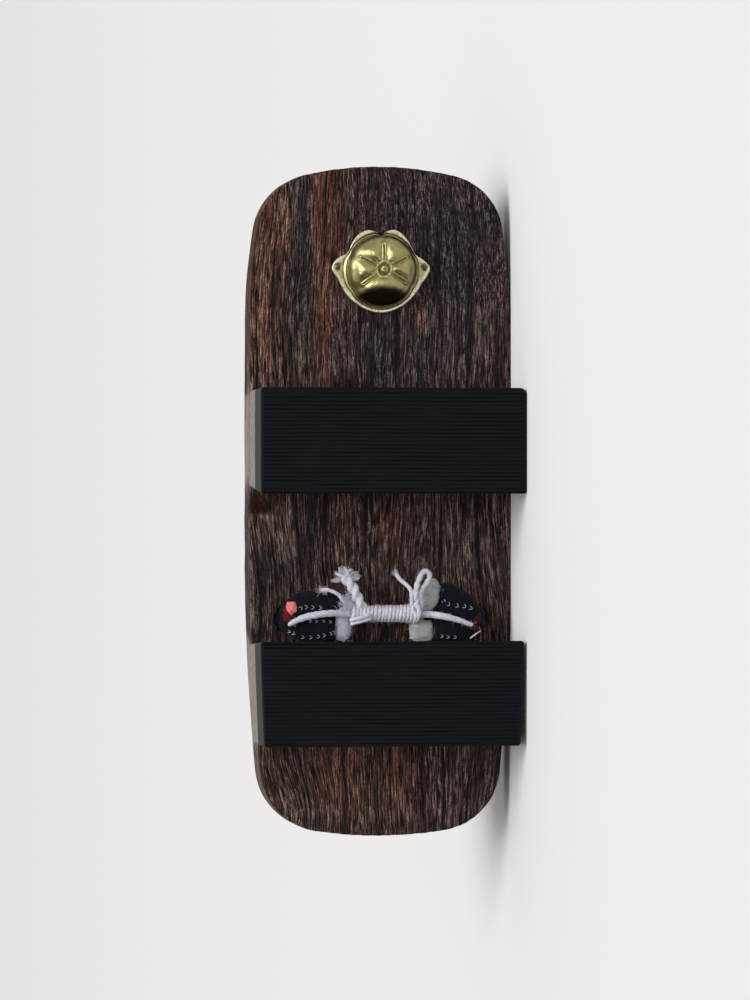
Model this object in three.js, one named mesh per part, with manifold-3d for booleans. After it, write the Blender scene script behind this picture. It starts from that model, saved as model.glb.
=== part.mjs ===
// Geta: a wooden clog on two teeth, with rubber treads, padded straps and a brass cap over the front knot.
//
// The clog is modelled standing, in millimetres: x towards the toe from mid-length, y towards the wearer's
// left from the centre line, z up from the ground. At the end the whole clog is turned onto its left side,
// where its board, front tooth and strap lie on one plane.

import * as THREE from "three";
import { mergeVertices } from "three/addons/utils/BufferGeometryUtils.js";
import Module from "manifold-3d";

// ---------------------------------------------------------------- driving dimensions

const LENGTH = 265;
const WIDTH = 105;
const BOARD_THICKNESS = 20;
const TOOTH_HEIGHT = 38; // ground to the board's underside, tread included
const TREAD_THICKNESS = 19;
const GAP = 0.3; // left between two pieces that touch

const HALF_LENGTH = LENGTH / 2;
const HALF_WIDTH = WIDTH / 2;
const UNDERSIDE = TOOTH_HEIGHT;
const DECK_TOP = TOOTH_HEIGHT + BOARD_THICKNESS;
const EDGE_ROUND = 1.8; // rounding of the board's edges

// Each end of the board is an end arc, a corner arc and a long side arc, each tangent to the next.
const TOE_END = { endRadius: 116.8, cornerRadius: 27, sideRadius: 485, straightTo: 52.5 };
const HEEL_END = { endRadius: 143, cornerRadius: 26, sideRadius: 1750, straightTo: 14 };

// Teeth, from heel edge to toe edge along x: where they meet the board, and at the ground.
const TEETH = [
  { name: "front", boardHeel: 5.3, boardToe: 43.4, groundHeel: 2.6, groundToe: 44.1 },
  { name: "rear", boardHeel: -96.4, boardToe: -56.8, groundHeel: -95.9, groundToe: -54.8 },
];

const FRONT_HOLE = { x: 91.4, y: 0, radius: 5 };
const CAP_X = FRONT_HOLE.x;
const REAR_HOLE = { x: -47, y: 37, radius: 5.5 }; // one on each side of the centre line

// Brass cap: a stamped blossom over the front hole, with two nailed ears.
const CAP = {
  rim: 16.7, // flange radius
  dome: 14.1, // dome radius where it meets the flange
  height: 10, // board to the top of the dome
  squareness: 2.4, // exponent of the dome's profile: 2 is an ellipse, more is fuller
  bead: 1.1, // centre bead above the dome
  sheet: 1, // thickness of the brass
  petalSwell: 0.5, // petal ridges above the dome
  ridges: [28, 90, 152, 214, 328], // directions of the ridges between the petals, in degrees
};
// Where the flange swells past its rim or draws in: direction and half-angle in degrees, and by how much.
// Directions run from 0, the wearer's right, to 90, the toe.
const FLANGE = [
  { feature: "right ear", at: 4, spread: 9, out: 2.8 },
  { feature: "left ear", at: 176, spread: 9, out: 2.8 },
  { feature: "right waist", at: 29, spread: 10, out: -1.7 },
  { feature: "left waist", at: 151, spread: 10, out: -1.7 },
  { feature: "notch", at: 90, spread: 6, out: -2.1 },
];
const NAIL = { x: 1.3, y: 17.4, head: 1.15, headHeight: 0.5, shank: 0.5, length: 9, clearance: 0.3 };

// ---------------------------------------------------------------- solids, joined and cut

const wasm = await Module();
wasm.setup();

function solidOf(geometry) {
  const bare = new THREE.BufferGeometry();
  bare.setAttribute("position", geometry.getAttribute("position"));
  if (geometry.index) bare.setIndex(geometry.index);
  const merged = mergeVertices(bare, 1e-4);
  const triVerts = Uint32Array.from(merged.index.array);
  const vertProperties = Float32Array.from(merged.getAttribute("position").array);
  return new wasm.Manifold(new wasm.Mesh({ numProp: 3, vertProperties, triVerts }));
}

function geometryOf(solid) {
  const mesh = solid.getMesh();
  const geometry = new THREE.BufferGeometry();
  geometry.setAttribute("position", new THREE.BufferAttribute(mesh.vertProperties, 3));
  geometry.setIndex(new THREE.BufferAttribute(mesh.triVerts, 1));
  geometry.computeVertexNormals();
  return geometry;
}

const joined = (solids) => solids.reduce((whole, piece) => whole.add(piece));

// A closed skin over rings of equal point count, each counter-clockwise about the way from the first to the
// last, with a point at the middle of each end ring.
function skinOver(rings) {
  const count = rings[0].length;
  const positions = rings.flat().flatMap((point) => point.toArray());
  const faces = [];
  for (let ring = 0; ring < rings.length - 1; ring++) {
    for (let i = 0; i < count; i++) {
      const a = ring * count + i;
      const b = ring * count + ((i + 1) % count);
      faces.push(a, b, b + count, a, b + count, a + count);
    }
  }
  const ends = [rings[0], rings[rings.length - 1]];
  ends.forEach((ring, end) => {
    const middle = positions.length / 3;
    const centre = ring.reduce((sum, point) => sum.add(point), new THREE.Vector3()).divideScalar(count);
    positions.push(...centre.toArray());
    const first = end * (rings.length - 1) * count;
    for (let i = 0; i < count; i++) {
      const a = first + i;
      const b = first + ((i + 1) % count);
      faces.push(...(end ? [a, b, middle] : [b, a, middle]));
    }
  });
  const geometry = new THREE.BufferGeometry();
  geometry.setAttribute("position", new THREE.Float32BufferAttribute(positions, 3));
  geometry.setIndex(faces);
  geometry.computeVertexNormals();
  return geometry;
}

// A lathed solid about an upright axis at x, y; profile rows are radius and height.
function turned(profile, x, y, segments) {
  const geometry = new THREE.LatheGeometry(profile.map(([r, z]) => new THREE.Vector2(r, z)), segments);
  return solidOf(geometry.rotateX(Math.PI / 2).translate(x, y, 0));
}

function drill(x, y, radius, fromZ, toZ, segments = 24) {
  return turned([[0, fromZ], [radius, fromZ], [radius, toZ], [0, toZ]], x, y, segments);
}

// ---------------------------------------------------------------- the board and its teeth

function arc(centre, radius, from, to, steps) {
  return Array.from({ length: steps }, (_, i) => {
    const angle = from + ((to - from) * i) / steps;
    return new THREE.Vector2(centre.x + radius * Math.cos(angle), centre.y + radius * Math.sin(angle));
  });
}

// A quarter of the outline, from the end of the centre line round to the straight side.
function quarterOutline({ endRadius, cornerRadius, sideRadius, straightTo }) {
  const endCentre = new THREE.Vector2(HALF_LENGTH - endRadius, 0);
  const sideCentre = new THREE.Vector2(straightTo, HALF_WIDTH - sideRadius);
  const toEnd = endRadius - cornerRadius;
  const toSide = sideRadius - cornerRadius;
  const apart = endCentre.distanceTo(sideCentre);
  const along = (toEnd ** 2 - toSide ** 2 + apart ** 2) / (2 * apart);
  const off = Math.sqrt(toEnd ** 2 - along ** 2);
  const line = sideCentre.clone().sub(endCentre).normalize();
  const cornerCentre = endCentre.clone().addScaledVector(line, along)
    .add(new THREE.Vector2(-line.y, line.x).multiplyScalar(off));
  const endAngle = cornerCentre.clone().sub(endCentre).angle();
  const sideAngle = cornerCentre.clone().sub(sideCentre).angle();
  return [
    ...arc(endCentre, endRadius, 0, endAngle, 6),
    ...arc(cornerCentre, cornerRadius, endAngle, sideAngle, 9),
    ...arc(sideCentre, sideRadius, sideAngle, Math.PI / 2, 6),
    new THREE.Vector2(straightTo, HALF_WIDTH),
  ];
}

function boardOutline() {
  const toe = quarterOutline(TOE_END);
  const heel = quarterOutline(HEEL_END).map((point) => new THREE.Vector2(-point.x, point.y));
  const left = [...toe, ...heel.reverse()];
  const right = left.slice(1, -1).reverse().map((point) => new THREE.Vector2(point.x, -point.y));
  return new THREE.Shape([...left, ...right]);
}

function outlineBlock(fromZ, toZ) {
  return solidOf(new THREE.ExtrudeGeometry(boardOutline(), { depth: toZ - fromZ, bevelEnabled: false })
    .translate(0, 0, fromZ));
}

function boardSolid() {
  const board = new THREE.ExtrudeGeometry(boardOutline(), {
    depth: BOARD_THICKNESS - 2 * EDGE_ROUND,
    bevelThickness: EDGE_ROUND,
    bevelSize: EDGE_ROUND,
    bevelOffset: -EDGE_ROUND,
    bevelSegments: 3,
  }).translate(0, 0, UNDERSIDE + EDGE_ROUND);
  const past = 2;
  const holes = [
    drill(FRONT_HOLE.x, FRONT_HOLE.y, FRONT_HOLE.radius, UNDERSIDE - past, DECK_TOP + past),
    ...[-1, 1].map((side) =>
      drill(REAR_HOLE.x, side * REAR_HOLE.y, REAR_HOLE.radius, UNDERSIDE - past, DECK_TOP + past)),
    ...[-1, 1].map((side) =>
      drill(CAP_X + NAIL.x, side * NAIL.y, NAIL.shank + NAIL.clearance,
        UNDERSIDE - past, UNDERSIDE + NAIL.length, 10)),
  ];
  return solidOf(board).subtract(joined(holes));
}

// A tooth flares a little towards the ground and is cut to the board's outline at its ends.
function toothSolid(tooth, fromZ, toZ) {
  const edgeAt = (board, ground, z) => ground + (board - ground) * (z / TOOTH_HEIGHT);
  const side = new THREE.Shape([
    new THREE.Vector2(edgeAt(tooth.boardHeel, tooth.groundHeel, fromZ), fromZ),
    new THREE.Vector2(edgeAt(tooth.boardToe, tooth.groundToe, fromZ), fromZ),
    new THREE.Vector2(edgeAt(tooth.boardToe, tooth.groundToe, toZ), toZ),
    new THREE.Vector2(edgeAt(tooth.boardHeel, tooth.groundHeel, toZ), toZ),
  ]);
  const across = new THREE.ExtrudeGeometry(side, { depth: WIDTH + 2, bevelEnabled: false })
    .translate(0, 0, -HALF_WIDTH - 1).rotateX(Math.PI / 2);
  return solidOf(across).intersect(outlineBlock(fromZ - 1, toZ + 1));
}

// ---------------------------------------------------------------- the brass cap and its nails

// A smooth swelling of height 1 about one direction.
function bump(degrees, at, spread) {
  const apart = ((degrees - at + 540) % 360) - 180;
  return Math.exp(-((apart / spread) ** 2));
}

const flangeRadius = (degrees) =>
  FLANGE.reduce((radius, { at, spread, out }) => radius + out * bump(degrees, at, spread), CAP.rim);
const creaseAt = (degrees) => CAP.ridges.reduce((sum, at) => sum + bump(degrees, at, 7), 0);
const domeRadius = (degrees) => CAP.dome * (1 - 0.03 * creaseAt(degrees));

// Height of the dome above its flange at a share of its radius, without petals or bead.
function domeHeight(share) {
  return (CAP.height - CAP.sheet) * Math.max(0, 1 - share ** CAP.squareness) ** (1 / CAP.squareness);
}

function domeDepth(share, degrees) {
  const petals = CAP.petalSwell * creaseAt(degrees) * share * (1 - share);
  const bead = share < CAP_STATIONS.beadEdge ? CAP.bead : 0;
  return CAP.sheet + domeHeight(share) + petals + bead;
}

// Shares of the dome's radius where its skin has a ring of points, outside and inside.
const CAP_STATIONS = {
  outer: [0.03, 0.07, 0.11, 0.3, 0.5, 0.68, 0.82, 0.92, 0.98, 1],
  inner: [0.88, 0.7, 0.45, 0.05],
  beadEdge: 0.09,
  around: 60,
};

function capSolid() {
  const directions = Array.from({ length: CAP_STATIONS.around }, (_, i) => (i * 360) / CAP_STATIONS.around);
  const ring = (radiusOf, depthOf) => directions.map((degrees) => {
    const angle = THREE.MathUtils.degToRad(degrees);
    const radius = radiusOf(degrees);
    return new THREE.Vector3(
      CAP_X + radius * Math.sin(angle), -radius * Math.cos(angle), UNDERSIDE - GAP - depthOf(degrees));
  });
  const insideRadius = (degrees) => domeRadius(degrees) - CAP.sheet;
  const rings = [
    ...CAP_STATIONS.outer.map((share) => ring((d) => share * domeRadius(d), (d) => domeDepth(share, d))),
    ring((d) => flangeRadius(d) - 0.4 * CAP.sheet, () => CAP.sheet),
    ring(flangeRadius, () => 0.6 * CAP.sheet),
    ring(flangeRadius, () => 0),
    ring(insideRadius, () => 0),
    ...CAP_STATIONS.inner.map((share) => ring((d) => share * insideRadius(d), () => domeHeight(share))),
  ];
  const nailHoles = [-1, 1].map((side) => drill(CAP_X + NAIL.x, side * NAIL.y,
    NAIL.shank + NAIL.clearance, UNDERSIDE - 3, UNDERSIDE + 1, 10));
  return solidOf(skinOver(rings)).subtract(joined(nailHoles));
}

function nailSolid(side) {
  const underHead = UNDERSIDE - GAP - CAP.sheet - 0.2;
  return turned([
    [0, underHead - NAIL.headHeight],
    [0.7 * NAIL.head, underHead - NAIL.headHeight],
    [NAIL.head, underHead - 0.4 * NAIL.headHeight],
    [NAIL.head, underHead],
    [NAIL.shank, underHead],
    [NAIL.shank, UNDERSIDE + NAIL.length - 2.5],
    [0, UNDERSIDE + NAIL.length - 1],
  ], CAP_X + NAIL.x, side * NAIL.y, 10);
}

// ---------------------------------------------------------------- the straps

// A padded strap along rows of centre, width and thickness. Each section is a plump rounded shape whose
// thickness lies along outward(centre). Nothing reaches past the board's side, where the strap lies flat.
function paddedSolid(rows, steps, outward, points = 14) {
  const plump = 2.3;
  const route = new THREE.CatmullRomCurve3(rows.map((row) => new THREE.Vector3(row.x, row.y, row.z)));
  const sizes = new THREE.CatmullRomCurve3(
    rows.map((row) => new THREE.Vector3(row.wide, row.thick, 0)), false, "catmullrom", 0.5);
  const rings = Array.from({ length: steps + 1 }, (_, step) => {
    const share = step / steps;
    const centre = route.getPoint(share);
    const size = sizes.getPoint(share);
    const tangent = route.getTangent(share);
    const normal = outward(centre);
    normal.addScaledVector(tangent, -normal.dot(tangent)).normalize();
    const across = new THREE.Vector3().crossVectors(normal, tangent);
    return Array.from({ length: points }, (_, i) => {
      const angle = (i * 2 * Math.PI) / points;
      const rounded = (value) => Math.sign(value) * Math.abs(value) ** (2 / plump);
      const point = centre.clone()
        .addScaledVector(across, (rounded(Math.cos(angle)) * size.x) / 2)
        .addScaledVector(normal, (rounded(Math.sin(angle)) * size.y) / 2);
      point.y = THREE.MathUtils.clamp(point.y, -HALF_WIDTH, HALF_WIDTH);
      return point;
    });
  });
  return solidOf(skinOver(rings));
}

// From the rear hole, up and forward over the instep, to the front loop.
const STRAP = [
  { x: -47, y: 37, z: 46, wide: 9.6, thick: 9.6 },
  { x: -47, y: 37, z: 59, wide: 9.6, thick: 9.6 },
  { x: -44.5, y: 39.2, z: 68, wide: 14, thick: 9.4 },
  { x: -35, y: 44, z: 77, wide: 17.5, thick: 9 },
  { x: -15, y: 47.2, z: 87, wide: 18.5, thick: 9 },
  { x: 10, y: 43, z: 93.5, wide: 18.5, thick: 9 },
  { x: 36, y: 32, z: 96, wide: 18, thick: 9 },
  { x: 60, y: 18.5, z: 93, wide: 16, thick: 9 },
  { x: 79, y: 7.5, z: 87.5, wide: 13, thick: 8.5 },
  { x: 91, y: 1.5, z: 83.5, wide: 11, thick: 8 },
];

// Each strap's cloth comes down through its rear hole and turns to the centre line in two lobes, one on the
// toe side of the tie cord and one on its heel side. Rows give where a lobe lies along x at its middle and
// at its end, how near the centre line it ends, and its width. Side 1 is the wearer's left.
const LOBES = [
  { side: -1, middleX: -40, endX: -39.7, endY: 15.6, wide: 11 },
  { side: -1, middleX: -51.2, endX: -51.2, endY: 20.4, wide: 9.8 },
  { side: 1, middleX: -41, endX: -37.9, endY: 24.2, wide: 12.4 },
  { side: 1, middleX: -51.3, endX: -51.3, endY: 21.6, wide: 9.8 },
];
const LOBE_THICKNESS = 8.4;

function lobeSolid({ side, middleX, endX, endY, wide }) {
  const z = UNDERSIDE - GAP - LOBE_THICKNESS / 2;
  const middleY = 31.5;
  const rows = [
    { x: REAR_HOLE.x, y: side * (REAR_HOLE.y + 3.5), z, wide: 0.5 * wide, thick: 0.6 * LOBE_THICKNESS },
    { x: (REAR_HOLE.x + middleX) / 2, y: side * REAR_HOLE.y, z, wide: 0.85 * wide, thick: 8 },
    { x: middleX, y: side * middleY, z, wide, thick: LOBE_THICKNESS },
    { x: (middleX + endX) / 2, y: (side * (middleY + endY)) / 2, z, wide, thick: LOBE_THICKNESS },
    { x: endX, y: side * endY, z, wide: 0.84 * wide, thick: 0.84 * LOBE_THICKNESS },
  ];
  return paddedSolid(rows, 8, () => new THREE.Vector3(0, 0, -1), 12);
}

// The front loop as a turned shape: knot, shank through the front hole, post and the turn over both straps.
const FRONT_LOOP = [
  { radius: 0, z: UNDERSIDE - 7 },
  { radius: 5.5, z: UNDERSIDE - 6.8 },
  { radius: 7.5, z: UNDERSIDE - 4.5 },
  { radius: 7, z: UNDERSIDE - 2 },
  { radius: 4.6, z: UNDERSIDE - 1 },
  { radius: 4.6, z: DECK_TOP },
  { radius: 5.3, z: DECK_TOP + 4 },
  { radius: 5.5, z: DECK_TOP + 16 },
  { radius: 6.6, z: DECK_TOP + 26 },
  { radius: 5.6, z: DECK_TOP + 31.5 },
  { radius: 3, z: DECK_TOP + 34 },
  { radius: 0, z: DECK_TOP + 34.5 },
];

function strapsSolid() {
  const footAxis = DECK_TOP + 10;
  const awayFromFoot = (centre) => new THREE.Vector3(0, centre.y, 1.2 * (centre.z - footAxis));
  const pieces = LOBES.map(lobeSolid);
  for (const side of [-1, 1]) {
    const strap = STRAP.map((row) => ({ ...row, y: side * row.y }));
    pieces.push(paddedSolid(strap, 40, awayFromFoot));
    pieces.push(drill(REAR_HOLE.x, side * REAR_HOLE.y, 5.1, UNDERSIDE - 7, UNDERSIDE + 14, 20));
  }
  // The front loop holds both straps, goes down the front hole and is knotted inside the cap.
  pieces.push(turned(FRONT_LOOP.map(({ radius, z }) => [radius, z]), FRONT_HOLE.x, FRONT_HOLE.y, 20));
  return joined(pieces);
}

// White padding that shows where each strap's cloth ends, under the board.
const PADDING = [
  { name: "padding_right_heel", x: -51.9, y: -16.3, long: 8, across: 7.2 },
  { name: "padding_left_toe", x: -37.3, y: 19.1, long: 12.4, across: 9 },
  { name: "padding_left_heel", x: -52, y: 15.7, long: 7.8, across: 10.6 },
];

function paddingSolid({ x, y, long, across }) {
  const high = 6.6;
  return solidOf(new THREE.SphereGeometry(0.5, 16, 10).rotateX(Math.PI / 2)
    .scale(long, across, high).translate(x, y, UNDERSIDE - GAP - 0.3 - high / 2));
}

// ---------------------------------------------------------------- the cords that tie the straps

const CORD = 2.8; // diameter of the two tie cords
const STRAND = 2.2; // diameter of the loop and the short end
const TWIST = 4; // diameter of the twisted tail
const WINDING = { x: -44.8, z: 32, from: -13.6, to: 15, halfLong: 3.3, halfDeep: 4.4 };

const CORDS = [
  { name: "tie_cord_right", diameter: CORD, steps: 12, points: [
    { x: -49.2, y: -39.4, z: 27.6 },
    { x: -47.4, y: -35.6, z: 27.4 },
    { x: -45.9, y: -31.2, z: 27.3 },
    { x: -44.9, y: -26, z: 27.4 },
    { x: -44.5, y: -20.5, z: 28.4 },
    { x: -44.6, y: -15.6, z: 30.4 },
  ] },
  { name: "tie_cord_left", diameter: CORD, steps: 12, points: [
    { x: -50, y: 38, z: 27.6 },
    { x: -48.8, y: 33.6, z: 27.4 },
    { x: -47.2, y: 29.2, z: 27.3 },
    { x: -46, y: 24.4, z: 27.6 },
    { x: -45.3, y: 20.4, z: 28.7 },
    { x: -45, y: 16.8, z: 30.4 },
  ] },
  { name: "tie_tail", diameter: TWIST, steps: 7, points: [
    { x: -40.8, y: -8.6, z: 31.2 },
    { x: -37.4, y: -10.4, z: 30.6 },
    { x: -33.6, y: -12.2, z: 30.8 },
    { x: -29.4, y: -15.4, z: 31.8 },
  ] },
  { name: "tie_loop", diameter: STRAND, steps: 16, points: [
    { x: -41.2, y: 12.2, z: 29.9 },
    { x: -37.5, y: 12, z: 28.6 },
    { x: -33.4, y: 12.8, z: 27.8 },
    { x: -29.6, y: 14.4, z: 27.4 },
    { x: -27.6, y: 16.6, z: 27.2 },
    { x: -29, y: 18.6, z: 27.2 },
    { x: -33, y: 17.2, z: 27.4 },
    { x: -37.5, y: 15.2, z: 28 },
    { x: -41.2, y: 14.9, z: 29.4 },
  ] },
  { name: "tie_end", diameter: STRAND, steps: 7, points: [
    { x: -41.2, y: 9.2, z: 31.6 },
    { x: -37, y: 9.4, z: 31 },
    { x: -34.4, y: 9.6, z: 30.8 },
    { x: -31, y: 7.4, z: 31 },
    { x: -28.2, y: 4.8, z: 31.6 },
  ] },
];

function cordGeometry({ diameter, steps, points }) {
  const sides = 8;
  const section = new THREE.Shape(arc({ x: 0, y: 0 }, diameter / 2, 0, 2 * Math.PI, sides));
  const route = new THREE.CatmullRomCurve3(points.map(({ x, y, z }) => new THREE.Vector3(x, y, z)));
  return new THREE.ExtrudeGeometry(section, { steps, extrudePath: route, bevelEnabled: false });
}

// The outer shape of the winding that binds the two cords.
function windingGeometry() {
  const length = WINDING.to - WINDING.from;
  const section = new THREE.Shape().absellipse(0, 0, WINDING.halfLong, WINDING.halfDeep, 0, 2 * Math.PI);
  return new THREE.ExtrudeGeometry(section, {
    depth: length - 2,
    bevelThickness: 1,
    bevelSize: 1,
    bevelOffset: -1,
    bevelSegments: 2,
    curveSegments: 9,
  }).rotateX(Math.PI / 2).translate(WINDING.x, WINDING.to - 1, WINDING.z);
}

// ---------------------------------------------------------------- the clog

const stainedWood = () => new THREE.MeshStandardMaterial({ color: 0x3c2d2a, roughness: 0.7, metalness: 0 });
const bareWood = () => new THREE.MeshStandardMaterial({ color: 0x8f8782, roughness: 0.8, metalness: 0 });
const rubber = () => new THREE.MeshStandardMaterial({ color: 0x14181b, roughness: 0.75, metalness: 0 });
const brass = () => new THREE.MeshStandardMaterial({ color: 0x9c8f55, roughness: 0.3, metalness: 1 });
const strapCloth = () => new THREE.MeshStandardMaterial({ color: 0x0f1218, roughness: 0.9, metalness: 0 });
const cotton = () => new THREE.MeshStandardMaterial({ color: 0xdcdbe6, roughness: 0.95, metalness: 0 });

const clog = new THREE.Group();

function addPiece(name, geometry, material) {
  const mesh = new THREE.Mesh(geometry, material);
  mesh.name = name;
  clog.add(mesh);
}

addPiece("board", geometryOf(boardSolid()), stainedWood());
for (const tooth of TEETH) {
  const wood = toothSolid(tooth, TREAD_THICKNESS + GAP, TOOTH_HEIGHT - GAP);
  addPiece(`${tooth.name}_tooth`, geometryOf(wood), bareWood());
  addPiece(`${tooth.name}_tread`, geometryOf(toothSolid(tooth, 0, TREAD_THICKNESS)), rubber());
}
addPiece("toe_cap", geometryOf(capSolid()), brass());
addPiece("cap_nail_left", geometryOf(nailSolid(1)), brass());
addPiece("cap_nail_right", geometryOf(nailSolid(-1)), brass());
addPiece("straps", geometryOf(strapsSolid()), strapCloth());
for (const row of PADDING) addPiece(row.name, geometryOf(paddingSolid(row)), cotton());
for (const row of CORDS) addPiece(row.name, cordGeometry(row), cotton());
addPiece("tie_winding", windingGeometry(), cotton());

// Turned onto its left side: the board stands on its long edge, with its treads towards -Y. The origin is
// at the middle of the bottom of the clog's box.
const box = new THREE.Box3().setFromObject(clog);
const sandal = new THREE.Group();
sandal.add(clog);
clog.rotation.x = -Math.PI / 2;
clog.position.set(0, -(box.min.z + box.max.z) / 2, HALF_WIDTH);

export default sandal;
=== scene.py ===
"""A geta lying on its left side: stained board, rubber-shod teeth, padded straps and their tied ends."""

import bmesh
import bpy
import numpy as np
from mathutils import Matrix, Vector


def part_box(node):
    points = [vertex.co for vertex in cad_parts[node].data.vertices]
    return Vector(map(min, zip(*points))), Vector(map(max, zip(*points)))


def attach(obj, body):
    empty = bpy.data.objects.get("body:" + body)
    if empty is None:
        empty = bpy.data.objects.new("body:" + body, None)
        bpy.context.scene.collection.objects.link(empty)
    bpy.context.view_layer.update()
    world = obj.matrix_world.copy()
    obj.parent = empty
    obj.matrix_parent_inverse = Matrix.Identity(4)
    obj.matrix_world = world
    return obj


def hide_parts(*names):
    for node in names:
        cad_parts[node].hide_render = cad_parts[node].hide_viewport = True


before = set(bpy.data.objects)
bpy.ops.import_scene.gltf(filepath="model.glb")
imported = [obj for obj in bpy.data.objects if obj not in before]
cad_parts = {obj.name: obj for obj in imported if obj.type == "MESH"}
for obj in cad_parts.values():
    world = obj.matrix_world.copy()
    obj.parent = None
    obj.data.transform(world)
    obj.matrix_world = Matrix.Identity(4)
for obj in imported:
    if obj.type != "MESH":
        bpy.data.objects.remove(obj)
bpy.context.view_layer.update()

# ---------------------------------------------------------------- the frame's sizes
# Pieces are worked out on the clog as it stands: x to the toe from mid-length, y to the wearer's left from
# the centre line, z up from the ground, all in millimetres.

MM = 0.001
board_low, board_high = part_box("board")
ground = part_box("front_tread")[0].y / MM
HALF_WIDTH = (board_high.z - board_low.z) / MM / 2
UNDERSIDE = board_low.y / MM - ground
DECK_TOP = board_high.y / MM - ground
TREAD_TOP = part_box("front_tread")[1].y / MM - ground
# The air left between two pieces that touch, and the distance under which two points of a mesh are one.
GAP = 0.3
MERGE = 0.004


def in_frame(points):
    """Standing millimetres to metres in the frame, where the clog lies on its left side."""
    x, y, z = np.moveaxis(np.asarray(points, float), -1, 0)
    return np.stack([x, z + ground, HALF_WIDTH - y], -1) * MM


def standing(metres):
    """The other way: metres in the frame to standing millimetres."""
    x, y, z = np.moveaxis(np.asarray(metres, float) / MM, -1, 0)
    return np.stack([x, HALF_WIDTH - z, y - ground], -1)


# ---------------------------------------------------------------- curves, noise and meshes

def unit(vectors):
    return vectors / np.linalg.norm(vectors, axis=-1, keepdims=True)


def swell(value, middle, spread):
    """A smooth hill of height 1: e to the minus the square of the distance over the spread."""
    return np.exp(-(((value - middle) / spread) ** 2))


def ease(value, start, stop):
    """0 before start, 1 after stop, and 3t² - 2t³ between."""
    t = np.clip((value - start) / (stop - start), 0, 1)
    return t * t * (3 - 2 * t)


def noise(u, v, seed):
    """Smooth chance heights from 0 to 1: a random number at each whole u and v, eased between them."""
    table = np.random.default_rng(seed).random((512, 512))
    u, v = np.broadcast_arrays(u, v)
    i, j = np.floor(u).astype(int), np.floor(v).astype(int)
    s, t = ease(u - i, 0, 1), ease(v - j, 0, 1)
    near = table[i % 512, j % 512] * (1 - s) + table[(i + 1) % 512, j % 512] * s
    far = table[i % 512, (j + 1) % 512] * (1 - s) + table[(i + 1) % 512, (j + 1) % 512] * s
    return near * (1 - t) + far * t


def curve_through(rows, steps):
    """A Catmull-Rom curve: between two rows the cubic whose slope at each is half the way between its
    neighbours, so it passes through every row. Rows may carry sizes after x, y and z."""
    rows = np.asarray(rows, float)
    padded = np.vstack([2 * rows[0] - rows[1], rows, 2 * rows[-1] - rows[-2]])
    a, b, c, d = (padded[k:len(padded) - 3 + k, None] for k in range(4))
    t = np.linspace(0, 1, steps, endpoint=False)[None, :, None]
    spans = b + (c - a) * t / 2 + (2 * a - 5 * b + 4 * c - d) * t**2 / 2 + (3 * b - a - 3 * c + d) * t**3 / 2
    return np.vstack([spans.reshape(-1, rows.shape[1]), rows[-1:]])


def length_along(path):
    """Distance from the start to each point of a path."""
    return np.concatenate([[0], np.cumsum(np.linalg.norm(np.diff(path, axis=0), axis=1))])


def square_frames(path, reference):
    """At each point of a path: its direction, the reference squared up to it, and the way across."""
    tangent = unit(np.gradient(path, axis=0))
    reference = np.broadcast_to(np.asarray(reference, float), path.shape)
    normal = unit(reference - (reference * tangent).sum(-1, keepdims=True) * tangent)
    return tangent, normal, np.cross(normal, tangent)


def closed_ends(rings):
    """Rings with one more at each end, drawn in to its middle, which closes the skin."""
    ends = [np.broadcast_to(ring[:-1].mean(0), ring.shape)[None] for ring in (rings[0], rings[-1])]
    return np.concatenate([ends[0], rings, ends[1]])


def add_mesh(name, grids, uvs=None):
    """A mesh over grids of points, each (rows, columns, 3) or many alike (count, rows, columns, 3): every
    four neighbours make a face. Points closer than MERGE are merged and the faces turned outwards."""
    points, faces, maps, start = [], [], [], 0
    for index, grid in enumerate(grids):
        many = grid.reshape(-1, *grid.shape[-3:])
        count, rows, columns, _ = many.shape
        corner = start + np.arange(count * rows * columns).reshape(count, rows, columns)
        quads = [corner[:, :-1, :-1], corner[:, :-1, 1:], corner[:, 1:, 1:], corner[:, 1:, :-1]]
        faces.append(np.stack(quads, -1).reshape(-1, 4))
        points.append(many.reshape(-1, 3))
        if uvs is not None:
            maps.append(np.broadcast_to(uvs[index], (*many.shape[:-1], 2)).reshape(-1, 2))
        start += count * rows * columns
    points, corners = np.vstack(points), np.vstack(faces).ravel()
    mesh = bpy.data.meshes.new(name)
    mesh.vertices.add(len(points))
    mesh.vertices.foreach_set("co", in_frame(points).ravel())
    mesh.loops.add(len(corners))
    mesh.loops.foreach_set("vertex_index", corners)
    mesh.polygons.add(len(corners) // 4)
    mesh.polygons.foreach_set("loop_start", np.arange(0, len(corners), 4))
    mesh.update(calc_edges=True)
    if maps:
        mesh.uv_layers.new(name="UVMap").data.foreach_set("uv", np.vstack(maps)[corners].ravel())
    shape = bmesh.new()
    shape.from_mesh(mesh)
    bmesh.ops.remove_doubles(shape, verts=shape.verts, dist=MERGE * MM)
    bmesh.ops.recalc_face_normals(shape, faces=shape.faces)
    shape.to_mesh(mesh)
    shape.free()
    mesh.polygons.foreach_set("use_smooth", np.ones(len(mesh.polygons), bool))
    piece = bpy.data.objects.new(name, mesh)
    bpy.context.scene.collection.objects.link(piece)
    return piece


def finish_piece(piece, material, slot, *stands_for):
    """Gives a piece its material, lets it ride on the clog, and hides the solids it stands for. Its slot is
    not used.
    """
    piece.data.materials.clear()
    piece.data.materials.append(material)
    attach(piece, "root")
    if stands_for:
        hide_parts(*stands_for)
    return piece


def points_of(piece):
    """A piece's points in standing millimetres."""
    flat = np.empty(len(piece.data.vertices) * 3, np.float32)
    piece.data.vertices.foreach_get("co", flat)
    return standing(flat.reshape(-1, 3))


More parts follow.
